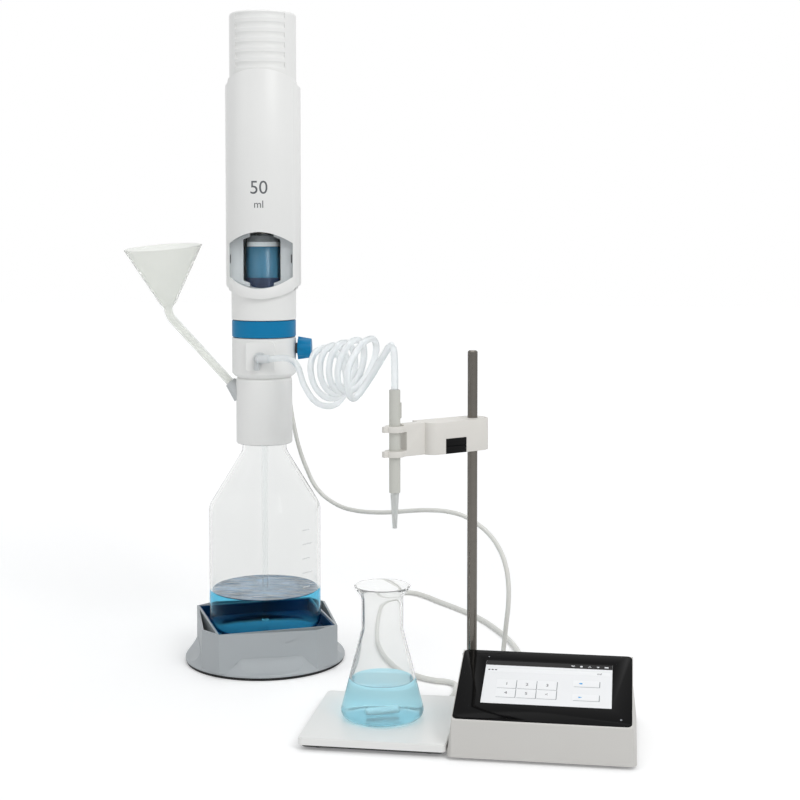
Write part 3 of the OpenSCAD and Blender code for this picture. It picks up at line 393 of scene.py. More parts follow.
class Finish:
    """A node material read from object coordinates, built up step by step."""

    def __init__(self, name):
        self.material = bpy.data.materials.new(name)
        self.material.use_nodes = True
        self.tree = self.material.node_tree
        self.tree.nodes.clear()
        self.out = self.add("OutputMaterial")
        self.shader = self.add("BsdfPrincipled")
        self.coords = self.add("TexCoord").outputs["Object"]
        self.link(self.shader.outputs[0], self.out.inputs["Surface"])

    def add(self, kind, **values):
        node = self.tree.nodes.new("ShaderNode" + kind)
        for key, value in values.items():
            if key in node.inputs:
                node.inputs[key].default_value = value
            else:
                setattr(node, key, value)
        return node

    def link(self, a, b):
        self.tree.links.new(a, b)

    def set(self, **values):
        for key, value in values.items():
            socket = self.shader.inputs[key.replace("_", " ")]
            socket.default_value = (*value, 1) if key.endswith("Color") else value
        return self

    def noise(self, scale, detail=2.0, stretch=(1, 1, 1)):
        where = self.coords
        if stretch != (1, 1, 1):
            mapping = self.add("Mapping", Scale=stretch)
            self.link(where, mapping.inputs["Vector"])
            where = mapping.outputs[0]
        node = self.add("TexNoise", Scale=scale, Detail=detail)
        self.link(where, node.inputs["Vector"])
        return node.outputs[0]

    def colour(self, colour, spread, scale=40.0, socket="Base Color"):
        """Two tones of a colour, laid over each other softly."""
        mix = self.add("Mix", data_type="RGBA")
        mix.inputs[6].default_value = (*[max(0, c * (1 - spread)) for c in colour], 1)
        mix.inputs[7].default_value = (*[min(1, c * (1 + spread)) for c in colour], 1)
        self.link(self.noise(scale), mix.inputs[0])
        self.link(mix.outputs[2], self.shader.inputs[socket])
        return self

    def rough(self, low, high, scale=90.0, stretch=(1, 1, 1)):
        span = self.add("MapRange")
        span.inputs[3].default_value, span.inputs[4].default_value = low, high
        self.link(self.noise(scale, 3.0, stretch), span.inputs[0])
        self.link(span.outputs[0], self.shader.inputs["Roughness"])
        return self

    def grain(self, scale, depth, strength=0.4, stretch=(1, 1, 1), detail=2.0):
        """A fine relief, its depth in millimetres."""
        bump = self.add("Bump", Strength=strength, Distance=depth * MM)
        self.link(self.noise(scale, detail, stretch), bump.inputs["Height"])
        self.link(bump.outputs[0], self.shader.inputs["Normal"])
        return self

    def lamps_pass(self, tint):
        """Lets lamps through, as thin clear walls do."""
        clear = self.add("BsdfTransparent")
        clear.inputs[0].default_value = (*tint, 1)
        mix = self.add("MixShader")
        self.link(self.add("LightPath").outputs["Is Shadow Ray"], mix.inputs[0])
        self.link(self.shader.outputs[0], mix.inputs[1])
        self.link(clear.outputs[0], mix.inputs[2])
        self.link(mix.outputs[0], self.out.inputs["Surface"])
        return self


FINISHES = {}


def moulded(name, colour, low=0.36, high=0.5, spread=0.02, depth=0.02, **shader):
    """Moulded plastic: an even colour with a fine spark-eroded grain."""
    finish = Finish(name).set(**shader)
    finish.colour(colour, spread, 25).rough(low, high, 60).grain(2600, depth)
    FINISHES[name] = finish.material


def clear(name, tint, ior, low, high, depth, shadow=None, wave=70, **shader):
    """Glass or a liquid."""
    finish = Finish(name).set(**{"Transmission_Weight": 1.0, "IOR": ior, **shader})
    finish.colour(tint, 0.015, 12).rough(low, high, 30).grain(wave, depth, 0.25)
    finish.lamps_pass(shadow or tuple(0.25 + 0.75 * t for t in tint))
    FINISHES[name] = finish.material


class TitratorFinishes(bpy.types.PropertyGroup):
    """Colours of the finishes."""

    white_shell: FloatVectorProperty(
        name="White shell", description="Moulded shells of the burette head",
        subtype="COLOR", size=3, default=paint(238, 238, 236))
    warm_grey: FloatVectorProperty(
        name="Warm grey", description="Housing of the control unit",
        subtype="COLOR", size=3, default=paint(206, 204, 200))
    stand_grey: FloatVectorProperty(
        name="Stand grey", description="Skirt of the bottle stand",
        subtype="COLOR", size=3, default=paint(172, 177, 180))
    cradle_blue: FloatVectorProperty(
        name="Cradle blue", description="Liner of the bottle stand",
        subtype="COLOR", size=3, default=paint(8, 72, 118))
    accent_blue: FloatVectorProperty(
        name="Accent blue", description="Lock ring and valve knob",
        subtype="COLOR", size=3, default=paint(0, 122, 172))
    arm_white: FloatVectorProperty(
        name="Arm white", description="Holder arm of the dosing tip",
        subtype="COLOR", size=3, default=paint(222, 219, 213))
    tip_grey: FloatVectorProperty(
        name="Tip grey", description="Body of the dosing tip",
        subtype="COLOR", size=3, default=paint(200, 200, 193))
    reagent: FloatVectorProperty(
        name="Reagent", description="Liquid in the bottle",
        subtype="COLOR", size=3, default=paint(104, 206, 242))
    sample: FloatVectorProperty(
        name="Sample", description="Liquid in the flask",
        subtype="COLOR", size=3, default=paint(186, 240, 255))
    charge: FloatVectorProperty(
        name="Charge", description="Liquid in the barrel, behind the window",
        subtype="COLOR", size=3, default=paint(75, 130, 160))


class TitratorSizes(bpy.types.PropertyGroup):
    """Sizes of the pieces that a user would change."""

    tube_turns: IntProperty(
        name="Tube turns", description="Whole turns in the dosing tube's coil",
        default=5, min=3, max=7)
    tube_diameter: FloatProperty(
        name="Tube diameter", description="Outside diameter of the dosing tube",
        default=0.0056, min=0.003, max=0.006, unit="LENGTH", subtype="DISTANCE")
    key_size: FloatProperty(
        name="Key height", description="Height of a key on the touch display",
        default=0.0112, min=0.008, max=0.012, unit="LENGTH", subtype="DISTANCE")
    scale_marks: IntProperty(
        name="Scale marks", description="Graduation marks on the bottle",
        default=5, min=0, max=9)


class TitratorOperator:
    bl_options = {"REGISTER", "UNDO"}


class TITRATOR_OT_camera(TitratorOperator, bpy.types.Operator):
    """Add the camera"""

    bl_idname = "titrator.camera"
    bl_label = "Camera"

    def execute(self, context):
        data = bpy.data.cameras.new("camera")
        camera = bpy.data.objects.new("camera", data)
        context.scene.collection.objects.link(camera)
        data.lens = 66.58
        data.shift_y = -0.12
        data.clip_start, data.clip_end = 0.01, 50
        camera.location = (0.3261, -1.3016, 0.3944)
        camera.rotation_euler = (radians(90 - 3.026), 0, radians(8.803))
        context.scene.camera = camera
        context.scene.view_settings.view_transform = "Standard"
        return {"FINISHED"}


class TITRATOR_OT_finishes(TitratorOperator, bpy.types.Operator):
    """Mix the finishes"""

    bl_idname = "titrator.finishes"
    bl_label = "Finishes"

    def execute(self, context):
        c = context.scene.titrator_finishes
        moulded("shell", c.white_shell[:], 0.34, 0.46, Coat_Weight=0.08, Coat_Roughness=0.3)
        moulded("housing", c.warm_grey[:], 0.42, 0.55, depth=0.035)
        moulded("stand", c.stand_grey[:], 0.4, 0.52, depth=0.03)
        moulded("cradle", c.cradle_blue[:], 0.25, 0.36, Specular_IOR_Level=0.25)
        moulded("navy", paint(22, 40, 68), 0.3, 0.4)
        # the reagent's top: its relief is ripples, and the strong light and dark mottling of its
        # colour is painted reflection
        ripples_painted_reflection = Finish("ripples_painted_reflection").set(Transmission_Weight=0.35, IOR=1.3)
        ripples_painted_reflection.colour(paint(150, 170, 188), 0.9, 50).rough(0.04, 0.14, 80)
        ripples_painted_reflection.grain(60, 4, 1.0, (1, 2.4, 1))
        FINISHES["ripples_painted_reflection"] = ripples_painted_reflection.material
        # painted shade: a darker grey for the window's recessed cheeks
        moulded("cheek_painted_shade", paint(178, 181, 183), 0.4, 0.5)
        moulded("frost", paint(222, 224, 224), 0.5, 0.6)
        moulded("blue", c.accent_blue[:], 0.3, 0.4, depth=0.008, Specular_IOR_Level=0.22)
        moulded("arm", c.arm_white[:], 0.4, 0.52)
        moulded("tip", c.tip_grey[:], 0.38, 0.5)
        moulded("dark", paint(48, 49, 51), 0.35, 0.5)
        moulded("latch", paint(70, 70, 70), 0.4, 0.55)
        moulded("black", paint(9, 9, 10), 0.35, 0.5, Specular_IOR_Level=0.12)
        moulded("rubber", paint(24, 24, 25), 0.65, 0.85, 0.1, 0.06)
        moulded("bush", paint(196, 199, 200), 0.38, 0.5)
        moulded("cable", paint(222, 222, 217), 0.42, 0.56, 0.02, 0.03)
        moulded("seal", paint(228, 231, 233), 0.3, 0.4)
        moulded("piston", paint(112, 116, 119), 0.32, 0.44)
        moulded("motor", paint(40, 41, 44), 0.4, 0.55, Metallic=0.6)
        moulded("print", paint(92, 95, 98), 0.45, 0.6)
        clear("glass", (0.9, 0.904, 0.898), 1.14, 0.0, 0.02, 0.05, (0.9, 0.92, 0.92))
        clear("flask_glass", (0.94, 0.943, 0.938), 1.1, 0.0, 0.02, 0.05, (0.92, 0.94, 0.94),
              Transmission_Weight=0.9)
        clear("thin_glass", (0.97, 0.98, 0.98), 1.12, 0.0, 0.03, 0.03, (0.93, 0.95, 0.95))
        clear("reagent", c.reagent[:], 1.02, 0.0, 0.02, 0.5, wave=45)
        clear("sample", c.sample[:], 1.12, 0.0, 0.02, 0.2, wave=45)
        moulded("charge", c.charge[:], 0.1, 0.2, depth=0.004, Transmission_Weight=0.25, IOR=1.33)

        milk = Finish("milk_glass").set(Transmission_Weight=0.75, IOR=1.07)
        milk.colour(paint(238, 239, 236), 0.01, 12).rough(0.2, 0.3, 30).grain(40, 0.05, 0.2)
        FINISHES["milk_glass"] = milk.lamps_pass((0.85, 0.87, 0.87)).material

        tube = Finish("tubing").set(
            Transmission_Weight=0.62, IOR=1.22, Coat_Weight=0.2, Coat_Roughness=0.2)
        tube.colour(paint(246, 249, 250), 0.02, 30).rough(0.28, 0.42, 80).grain(900, 0.02)
        FINISHES["tubing"] = tube.material

        ptfe = Finish("ptfe").set(Transmission_Weight=0.25, IOR=1.36)
        ptfe.colour(paint(235, 238, 239), 0.02, 30).rough(0.4, 0.52, 80).grain(1200, 0.02)
        FINISHES["ptfe"] = ptfe.material

        nozzle = Finish("nozzle").set(Transmission_Weight=0.45, IOR=1.4)
        nozzle.colour(paint(226, 228, 226), 0.02, 30).rough(0.32, 0.45, 80).grain(1200, 0.02)
        FINISHES["nozzle"] = nozzle.material

        steel = Finish("steel").set(Metallic=1.0)
        steel.colour(paint(118, 114, 108), 0.08, 300)
        steel.rough(0.14, 0.3, 900, (1, 1, 0.02)).grain(1500, 0.01, 0.3, (1, 1, 0.02))
        FINISHES["steel"] = steel.material

        brass = Finish("brass").set(Metallic=1.0)
        brass.colour(paint(196, 164, 96), 0.06, 200).rough(0.25, 0.4, 400).grain(1500, 0.01)
        FINISHES["brass"] = brass.material

        panel = Finish("panel").set(Coat_Weight=0.0, Coat_Roughness=0.04, Specular_IOR_Level=0.04)
        panel.colour(paint(7, 7, 8), 0.04, 30).rough(0.07, 0.13, 40).grain(60, 0.01, 0.2)
        FINISHES["panel"] = panel.material

        face = Finish("screen").set(
            Emission_Color=(0.92, 0.95, 1.0), Emission_Strength=0.05, Coat_Weight=0.05,
            Coat_Roughness=0.05)
        face.colour(paint(234, 235, 236), 0.01, 60).rough(0.12, 0.2, 40).grain(3000, 0.004)
        FINISHES["screen"] = face.material

        for name, shade, glow in (
            ("screen_key", (238, 239, 240), 0.05), ("screen_shade", (128, 132, 136), 0.0),
            ("screen_ink", (14, 15, 17), 0.0), ("screen_blue", (40, 150, 210), 0.08),
            ("screen_black", (8, 8, 9), 0.0), ("screen_icon", (214, 216, 218), 0.1),
        ):
            part = Finish(name).set(
                Emission_Color=(0.95, 0.97, 1.0), Emission_Strength=glow, Specular_IOR_Level=0.2)
            part.colour(paint(*shade), 0.01, 60).rough(0.14, 0.22, 40).grain(3000, 0.004)
            FINISHES[name] = part.material
        return {"FINISHED"}


class TITRATOR_OT_cables(TitratorOperator, bpy.types.Operator):
    """Add the two cables"""

    bl_idname = "titrator.cables"
    bl_label = "Cables"

    def execute(self, context):
        head = strand("head_cable_line", HEAD_CABLE_ROUTE, 4)
        on_body(head, "root", "cable_white", FINISHES["cable"], "head_cable")
        stir = strand("stirrer_cable_line", STIRRER_CABLE_ROUTE, 5)
        on_body(stir, "root", "cable_white", FINISHES["cable"], "stirrer_cable")
        return {"FINISHED"}


class TITRATOR_OT_dosing_tube(TitratorOperator, bpy.types.Operator):
    """Add the coiled dosing tube and its end at the dosing tip"""

    bl_idname = "titrator.dosing_tube"
    bl_label = "Dosing tube"

    def execute(self, context):
        sizes = context.scene.titrator_sizes
        d = sizes.tube_diameter / MM
        first, last = -140, 360 * sizes.tube_turns - 150

        def part_way(values, t):
            a, b, c = values
            return a * (1 - t) * (1 - 2 * t) + b * 4 * t * (1 - t) + c * t * (2 * t - 1)

        def coil(angle):
            t = (angle + 150) / (360 * sizes.tube_turns + 60)
            x, y, z, r, lean, face = (
                part_way(v, t) for v in (COIL_X, COIL_Y, COIL_Z, COIL_R, COIL_LEAN, COIL_FACE))
            face, lean, angle = radians(face), radians(lean), radians(angle)
            across = Vector((sin(face), cos(face), 0))
            up = sin(lean) * across + Vector((0, 0, cos(lean)))
            return Vector((x, y, z)) + r * (cos(angle) * across + sin(angle) * up)

        turns = [coil(a) for a in range(first, last + 1, 30)]
        line = through(TUBE_LEAD_ROUTE + turns + TUBE_RISE_ROUTE + TUBE_END_ROUTE[:1], 3.2)
        drop = through(
            [line[-1]] + TUBE_END_ROUTE[1:] + [(*TIP_AT, 277), (*TIP_AT, 268), (*TIP_AT, 261)], 2.5)
        for name, way, node, bodies, start, end, lay in (
            ("dosing_tube_turns", line, ("dosing_tube_lead", "dosing_tube_coil"),
             ("root", "clamp_part"), TUBE_LEAD_ROUTE[-1], line[-1], "coiled"),
            ("dosing_tube_end", drop, ("dosing_tube_drop",),
             ("clamp_part", "arm_part"), drop[4], (*TIP_AT, 288), "hanging"),
        ):
            piece = smooth(as_mesh(strand(name, way, d, "POLY")), 80)
            piece.data.materials.append(FINISHES["tubing"])
            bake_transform(piece)
            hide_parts(*node)
        return {"FINISHED"}


def bottle_outline(inset):
    """Half section of the bottle, shrunk by a thickness all round."""
    lean = degrees(atan2(SHOULDER_H, BOTTLE_R - BOTTLE_NECK_R))
    half = tan(radians((90 - lean) / 2))
    return (
        [(0, inset + 1.2), (28, inset + 0.9), (38.5, inset)]
        + arc((BOTTLE_R - HEEL_R, HEEL_R), HEEL_R - inset, -90, 0, 8)
        + arc((BOTTLE_R - BEND_R, BODY_H - BEND_R * half), BEND_R - inset, 0, 90 - lean, 8)
        + arc((BOTTLE_NECK_R + 9, BODY_H + SHOULDER_H + 9 * half), 9 + inset, 270 - lean, 180, 8)
        + [(BOTTLE_NECK_R - inset, BOTTLE_H)]
    )


def flask_outline(inset):
    """Half section of the flask, shrunk by a thickness all round."""
    lean = degrees(atan2(FLASK_R - FLASK_NECK_R, FLASK_CONE_H - FLASK_HEEL_R))
    return (
        [(0, inset + 0.8), (17, inset + 0.6), (24.5, inset)]
        + arc((FLASK_R - FLASK_HEEL_R, FLASK_HEEL_R), FLASK_HEEL_R - inset, -90, lean, 8)
        + arc((FLASK_NECK_R + 10, FLASK_CONE_H), 10 + inset, 180 + lean, 180, 6)
        + [(FLASK_NECK_R - inset, 92)] + arc((FLASK_NECK_R + 9, 92), 9 + inset, 180, 138, 6)
    )


def filled(outline, depth):
    """The part of a vessel's outline that holds a liquid, with its meniscus."""
    wall = [p for p in outline if p[1] < depth]
    above = next(p for p in outline if p[1] >= depth)
    a, b = wall[-1], above
    t = (depth - a[1]) / (b[1] - a[1])
    r = a[0] + (b[0] - a[0]) * t
    return wall + [(r, depth), (r - 0.8, depth - 0.7), (r - 2.4, depth - 1.2),
                   (r * 0.6, depth - 1.3), (r * 0.3, depth - 1.3), (0, depth - 1.3)]


class TITRATOR_OT_glassware(TitratorOperator, bpy.types.Operator):
    """Add the bottle, the flask and the funnel"""

    bl_idname = "titrator.glassware"
    bl_label = "Glassware"

    def execute(self, context):
        bottle = turned("reagent_bottle_glass", bottle_outline(0)
                        + [(19.6, 206.4), (18.2, 206.4), (17.8, 206)]
                        + bottle_outline(2.2)[-2::-1], 128)
        set_in(bottle, at(z=BOTTLE_Z + 0.08))
        smooth(bottle, 60)
        on_body(bottle, "root", "lab_glass", FINISHES["glass"], "reagent_bottle")

        marks = []
        for k in range(context.scene.titrator_sizes.scale_marks):
            w = 13 if k % 2 else 9
            mark = wrapped(slab("mark", w, 0.7, 0.3, 0.03, 3), 50.5, 44.5 + 12.8 * k, 1)
            marks.append(set_in(mark, at(z=BOTTLE_Z) @ turn(55, "Z")))
        on_body(merge_pieces("bottle_scale", marks), "root", "display_white", FINISHES["frost"])

        flask = turned("flask_glass", flask_outline(0)
                       + [(21.6, 102.6), (21.9, 103.4), (21.3, 104), (20.4, 103.6)]
                       + flask_outline(1.8)[-2::-1], 112)
        set_in(flask, at(*FLASK_AT, 10.08))
        smooth(flask, 60)
        on_body(flask, "flask_part", "lab_glass", FINISHES["flask_glass"], "flask")

        # the funnel: a stem that bends into a cone, which leans left and to the front
        way = (turn(39, "Y") @ turn(4.6, "X")).to_3x3() @ Vector((0, 0, 1))
        aside = Vector((way.x, way.y, 0)).normalized()
        bow = degrees(way.angle(Vector((0, 0, 1))))
        reach = 19 * tan(radians(bow / 2))
        line = [Vector((0, 0, z)) for z in (-15.8, -4, 10, 24, 38, 52, 64)]
        line += [
            Vector((0, 0, 82 - reach + 19 * sin(radians(bow * k / 7))))
            + aside * 19 * (1 - cos(radians(bow * k / 7)))
            for k in range(8)
        ]
        cone = [(6.9, 4.1), (7.6, 4.6), (8.6, 5.5), (10.5, 7), (20, 12.1), (35, 20.3), (50, 28.5),
                (60, 33.9), (61.2, 34.6), (61.7, 35.1), (62, 35.15)]
        radii = [3.9] * len(line) + [r for _, r in cone]
        line += [Vector((0, 0, 82)) + way * s for s, _ in cone]
        funnel = close_up(
            as_mesh(strand("refill_funnel_glass", line, 2, "POLY", radii, 22)), 1e-7)
        modify(funnel, "SOLIDIFY", thickness=1.3 * MM, offset=-1, use_rim=True)
        set_in(funnel, PORT)
        smooth(funnel, 50)
        on_body(funnel, "funnel_part", "lab_glass", FINISHES["milk_glass"], "refill_funnel")

        barrel = turned("barrel_glass", [
            (2, 302), (16.5, 302), (16.5, 393.6), (16.1, 394), (15.4, 394), (15, 393.6),
            (15, 303.5), (2, 303.5), (2, 302)], 96)
        smooth(barrel, 40)
        on_body(barrel, "root", "lab_glass", FINISHES["thin_glass"], "glass_barrel")
        return {"FINISHED"}


class TITRATOR_OT_bottle_stand(TitratorOperator, bpy.types.Operator):
    """Flare the bottle stand's foot and sink a dish into each of its flats"""

    bl_idname = "titrator.bottle_stand"
    bl_label = "Bottle stand"

    def execute(self, context):
        def four(name, middle, half, round_form=False):
            forms = []
            for k in range(4):
                put_down()
                if round_form:
                    bpy.ops.mesh.primitive_cylinder_add(vertices=128, radius=1, depth=2)
                else:
                    bpy.ops.mesh.primitive_cube_add(size=2)
                sized = Matrix.Diagonal((*(Vector(half) * MM), 1))
                if round_form:
                    sized = turn(90, "X") @ sized
                forms.append(set_in(
                    bpy.context.object, turn(STAND_FLAT + 90 * k, "Z") @ at(*middle) @ sized))
            return merge_pieces(name, forms)

        flare = turned("flare", [(57, 3.2), (72.4, 3.2)] + [
            (59.28 + 13.17 * (1 - t / 20) ** 1.6, 4 + 35 * t / 20) for t in range(18)
        ] + [(57, 33.75), (57, 3.2)], 144)
        # each form is given by its middle and half its size, facing along a flat: the flats
        # keep the flare beside them, the dishes hollow it, and the walls and the pits cut
        # the flare and the solid back so that neither shows through the other
        stand = from_node("stand_body", "stand_shell")
        flats = four("flats", (69.3, 0, 18.5), (10.7, 34.6, 15.5))
        dishes = four("dishes", (73.8, 0, 20.4), (13.75, 15.6, 34.8), True)
        pits = four("pits", (70.3, 0, 11.2), (10.1, 33.9, 7.8))
        walls = four("walls", (70, 0, 31), (10.06, 34.8, 14))
        for piece, operation, other in (
            (flare, "INTERSECT", flats), (flare, "DIFFERENCE", dishes),
            (flare, "DIFFERENCE", walls), (stand, "DIFFERENCE", pits),
        ):
            modify(piece, "BOOLEAN", operation=operation, object=other, solver="EXACT")
        for other in (flats, dishes, walls, pits):
            bpy.data.objects.remove(other)
        stand = merge_pieces("stand_body", [stand, flare])
        smooth(stand, 11)
        on_body(stand, "root", "stand_grey", FINISHES["stand"], "stand_shell")
        return {"FINISHED"}


class TITRATOR_OT_liquids(TitratorOperator, bpy.types.Operator):
    """Fill the bottle, the flask and the barrel"""

    bl_idname = "titrator.liquids"
    bl_label = "Liquids"

    def execute(self, context):
        reagent = turned("reagent_fill", filled(bottle_outline(2.0), REAGENT_DEPTH), 128)
        set_in(reagent, at(z=BOTTLE_Z))
        smooth(reagent, 60)
        on_body(reagent, "root", "reagent_blue", FINISHES["reagent"], "reagent")

        # the reagent's top, a disc whose mottled colour is painted reflection of ripples
        top = turned("reagent_top", [(0, 36.85), (48.1, 36.85), (48.1, 36.95), (0, 36.95)], 96)
        set_in(top, at(z=BOTTLE_Z))
        on_body(top, "root", "reagent_blue", FINISHES["ripples_painted_reflection"])

        sample = turned("sample_fill", filled(flask_outline(1.6), SAMPLE_DEPTH), 112)
        set_in(sample, at(*FLASK_AT, 10))
        smooth(sample, 60)
        on_body(sample, "flask_part", "sample_blue", FINISHES["sample"], "sample")

        charge = turned("barrel_fill", [
            (0, 303.6), (14.6, 303.6), (15.02, 304.1), (15.02, 375.2), (14.6, 375.8),
            (0, 375.8)], 96)
        smooth(charge, 40)
        on_body(charge, "root", "reagent_blue", FINISHES["charge"], "barrel_charge")
        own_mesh(charge)
        return {"FINISHED"}


class TITRATOR_OT_head(TitratorOperator, bpy.types.Operator):
    """Dress the burette head"""

    bl_idname = "titrator.head"
    bl_label = "Burette head"

    def execute(self, context):
        sleeve = from_node("sleeve_shell", "main_sleeve", 0.5)
        on_body(sleeve, "root", "white_shell", FINISHES["shell"], "main_sleeve")
        # the recessed cheeks on both sides of the window's slot, painted a darker grey as shade
        sleeve.data.materials.append(FINISHES["cheek_painted_shade"])
        for face in sleeve.data.polygons:
            x, y, z = HEAD.inverted() @ face.center / MM
            inside = (x * x + y * y) ** 0.5 < SLEEVE_R - CHEEK_IN
            if y < CHEEK_BACK and CHEEK_LOW < z < CHEEK_TOP and inside:
                face.material_index = 1
        knob = from_node("knob_grip", "valve_knob", 0.45, 25)
        on_body(knob, "knob_part", "accent_blue", FINISHES["blue"], "valve_knob")

        # the printed capacity, laid on the sleeve's round front
        marks = []
        for text, size, z in (("50", 16.4, 427.5), ("ml", 9.2, 413)):
            marks.append(wrapped(lettering(text, size, 0.06), SLEEVE_R, z))
        print_on = merge_pieces("capacity_print", marks)
        set_in(print_on, HEAD)
        on_body(print_on, "root", "panel_black", FINISHES["print"])

        # latches at the window's sides
        latches = []
        for side in (-1, 1):
            part = slab("latch", 1.3, 7.4, 0.3, 0.5)
            ease_edges(part, 0.12, 1)
            set_in(part, HEAD @ at(side * 27.2, -19.75, WINDOW_Z - 2.5)
                   @ turn(side * 52, "Z") @ turn(90, "X") @ at(-0.65, 0, -0.25))
            latches.append(part)
        latch = merge_pieces("window_latches", latches)
        on_body(latch, "root", "dark_plastic", FINISHES["latch"])

        closing = turned("sleeve_closing", [
            (28.7, 335.8), (29.2, 336.6), (31.25, 342.2), (31.25, 346), (30.6, 346), (28.7, 337.4),
            (28.7, 335.8)], 60, 200)
        set_in(closing, HEAD @ turn(190, "Z"))
        smooth(closing, 40)
        on_body(closing, "root", "white_shell", FINISHES["shell"])

        post = turned("outlet_post", [(0, 266.8)] + arc((1.9, 267.6), 0.8, -90, 0, 4)
                      + arc((0, 277.4), 2.7, 0, 90, 8), 32)
        set_in(post, HEAD @ at(-2.4, -33.9, 0))
        smooth(post, 50)
        on_body(post, "root", "ptfe", FINISHES["bush"])

        band = turned("barrel_foot_band", [
            (16.52, 337.4), (16.78, 337.4), (16.78, 347.8), (16.52, 348), (16.52, 337.4)], 96)
        smooth(band, 40)
        on_body(band, "root", "motor_black", FINISHES["navy"])
        return {"FINISHED"}


class TITRATOR_OT_tip_holder(TitratorOperator, bpy.types.Operator):
    """Dress the tip holder"""

    bl_idname = "titrator.tip_holder"
    bl_label = "Tip holder"

    def execute(self, context):
        arm = from_node("arm_shell", "holder_arm", 0.6)
        on_body(arm, "arm_part", "arm_white", FINISHES["arm"], "holder_arm")
        lever = from_node("lever_pad", "release_lever", 0.35)
        on_body(lever, "lever_part", "rubber_black", FINISHES["black"], "release_lever")
        return {"FINISHED"}


class TITRATOR_OT_control_unit(TitratorOperator, bpy.types.Operator):
    """Dress the control unit and its touch display"""

    bl_idname = "titrator.control_unit"
    bl_label = "Control unit"

    def execute(self, context):
        # side walls leaning in to the glass, the front wall leaning out to the foot
        housing = from_node("unit_shell", "control_housing")
        work_on(housing)
        bpy.ops.mesh.bisect(plane_co=(0, 0, WALL_TOP * MM), plane_no=(0, 0, 1))
        put_down()
        for v in housing.data.vertices:
            x, y = v.co.x / MM - BOX_AT[0], v.co.y / MM - BOX_AT[1]
            rise = min(1.0, v.co.z / MM / WALL_TOP)
            near = min(x, UNIT_W - x)
            if near < WALL_BAND:
                side = 1 if x < UNIT_W / 2 else -1
                x += side * SIDE_LEAN * rise * (1 - near / WALL_BAND)
            y -= FRONT_LEAN * (1 - rise) * (1 - y / UNIT_D)
            v.co.x, v.co.y = (x + BOX_AT[0]) * MM, (y + BOX_AT[1]) * MM
        ease_edges(housing, 0.5, 2, 40)
        smooth(housing, 30)
        on_body(housing, "root", "warm_grey_shell", FINISHES["housing"], "control_housing")
        glass = from_node("panel_glass", "touch_panel", 0.3)
        on_body(glass, "root", "panel_black", FINISHES["panel"], "touch_panel")

        left, low, wide, high = 23.15, 21.75, 97.7, 49.7

        def lay(name, x, y, w, h, r, lift, thick, finish, slot="display_white"):
            part = slab(name, w, h, r, thick, 4)
            set_in(part, SLOPE @ at(left + x, low + y, 0.2 + lift))
            return on_body(part, "root", slot, FINISHES[finish])

        lay("screen_face", 0, 0, wide, high, 0.3, 0.0, 0.05, "screen")
        lay("status_bar", 0, high, wide, 55.7 - high, 0.3, 0.0, 0.05, "screen_black")
        lay("header_strip", 1.5, 0.83 * high, wide - 3, 4.6, 0.5, 0.05, 0.02, "screen_key")

        key_h = context.scene.titrator_sizes.key_size / MM
        keys, shades, ink = [], [], []

        def put(group, part, x, y, lift):
            set_in(part, SLOPE @ at(left + x, low + y, 0.2 + lift))
            group.append(part)

        grid_x, grid_y, key_w = 0.105 * wide, 0.165 * high, 0.158 * wide
        for k, text in enumerate(("4", "5", "<", "1", "2", "3")):
            x = grid_x + (k % 3) * key_w
            y = grid_y + (k // 3) * (key_h + 0.5)
            put(shades, slab("shade", key_w - 0.25, key_h, 0.7, 0.02, 3), x + 0.35, y - 0.4, 0.05)
            put(keys, slab("key", key_w - 0.5, key_h - 0.1, 0.7, 0.04, 3), x, y, 0.06)
            put(ink, lettering(text, 4.7, 0.02), x + key_w / 2, y + key_h / 2, 0.115)
        buttons = []
        for y in (0.165 * high, 0.52 * high):
            x, w, h = 0.70 * wide, 0.205 * wide, 8.0
            put(shades, slab("shade", w, h, 0.7, 0.02, 3), x + 0.4, y - 0.45, 0.05)
            put(keys, slab("button", w - 0.2, h, 0.7, 0.04, 3), x, y, 0.06)
            buttons.append((x + 0.29 * w, y + h / 2))
        marks = []
        for (x, y), outline in zip(buttons, (
            [(-1.3, -1.1), (1.5, 0), (-1.3, 1.1)],
            [(1.4 * cos(radians(a)), 1.0 * sin(radians(a))) for a in range(0, 360, 30)],
        )):
            put(marks, plate("mark", outline, 0.02), x, y, 0.11)
        put(ink, lettering("ml", 3.6, 0.02), 0.9 * wide, 0.875 * high, 0.08)
        for k in range(3):
            put(ink, slab("dash", 1.5, 1.3, 0.3, 0.02, 3), 2.2 + 2.6 * k, 0.86 * high, 0.08)
        icons = []
        for k, outline in enumerate((
            [(-1.6, 0.5), (-1, 0), (0, -0.5), (1, 0), (1.6, 0.5), (0.9, 1.0), (0, 0.6),
             (-0.9, 1.0)],
            [(1.1 * cos(radians(a)), 1.1 * sin(radians(a))) for a in range(0, 360, 30)],
            [(-1.4, -0.8), (0, 0.9), (1.4, -0.8), (0.8, -0.8), (0, 0.1), (-0.8, -0.8)],
            [(-1.3, 0.7), (1.3, 0.7), (0, -1.0)],
            [(-1.5, -0.8), (1.5, -0.8), (1.5, 0.8), (-1.5, 0.8)],
        )):
            put(icons, plate("icon", outline, 0.02), (0.69 + 0.066 * k) * wide, high + 2.9, 0.06)
        for name, group, finish in (
            ("key_shades", shades, "screen_shade"), ("keys", keys, "screen_key"),
            ("key_signs", ink, "screen_ink"), ("button_marks", marks, "screen_blue"),
            ("status_icons", icons, "screen_icon"),
        ):
            on_body(merge_pieces(name, group), "root", "display_white", FINISHES[finish])

        # the proximity mark and the lamp on the glass
        dots = []
        for x, y, r in ((128, 8.4, 0.9), (24.5, 82.5, 0.6)):
            dot = turned("dot", [(0, 0), (r, 0), (r, 0.03), (r * 0.7, 0.05), (0, 0.05)], 24)
            set_in(dot, SLOPE @ at(x, y, 0.3))
            dots.append(dot)
        on_body(merge_pieces("panel_marks", dots), "root", "display_white",
                FINISHES["screen_shade"])
        return {"FINISHED"}


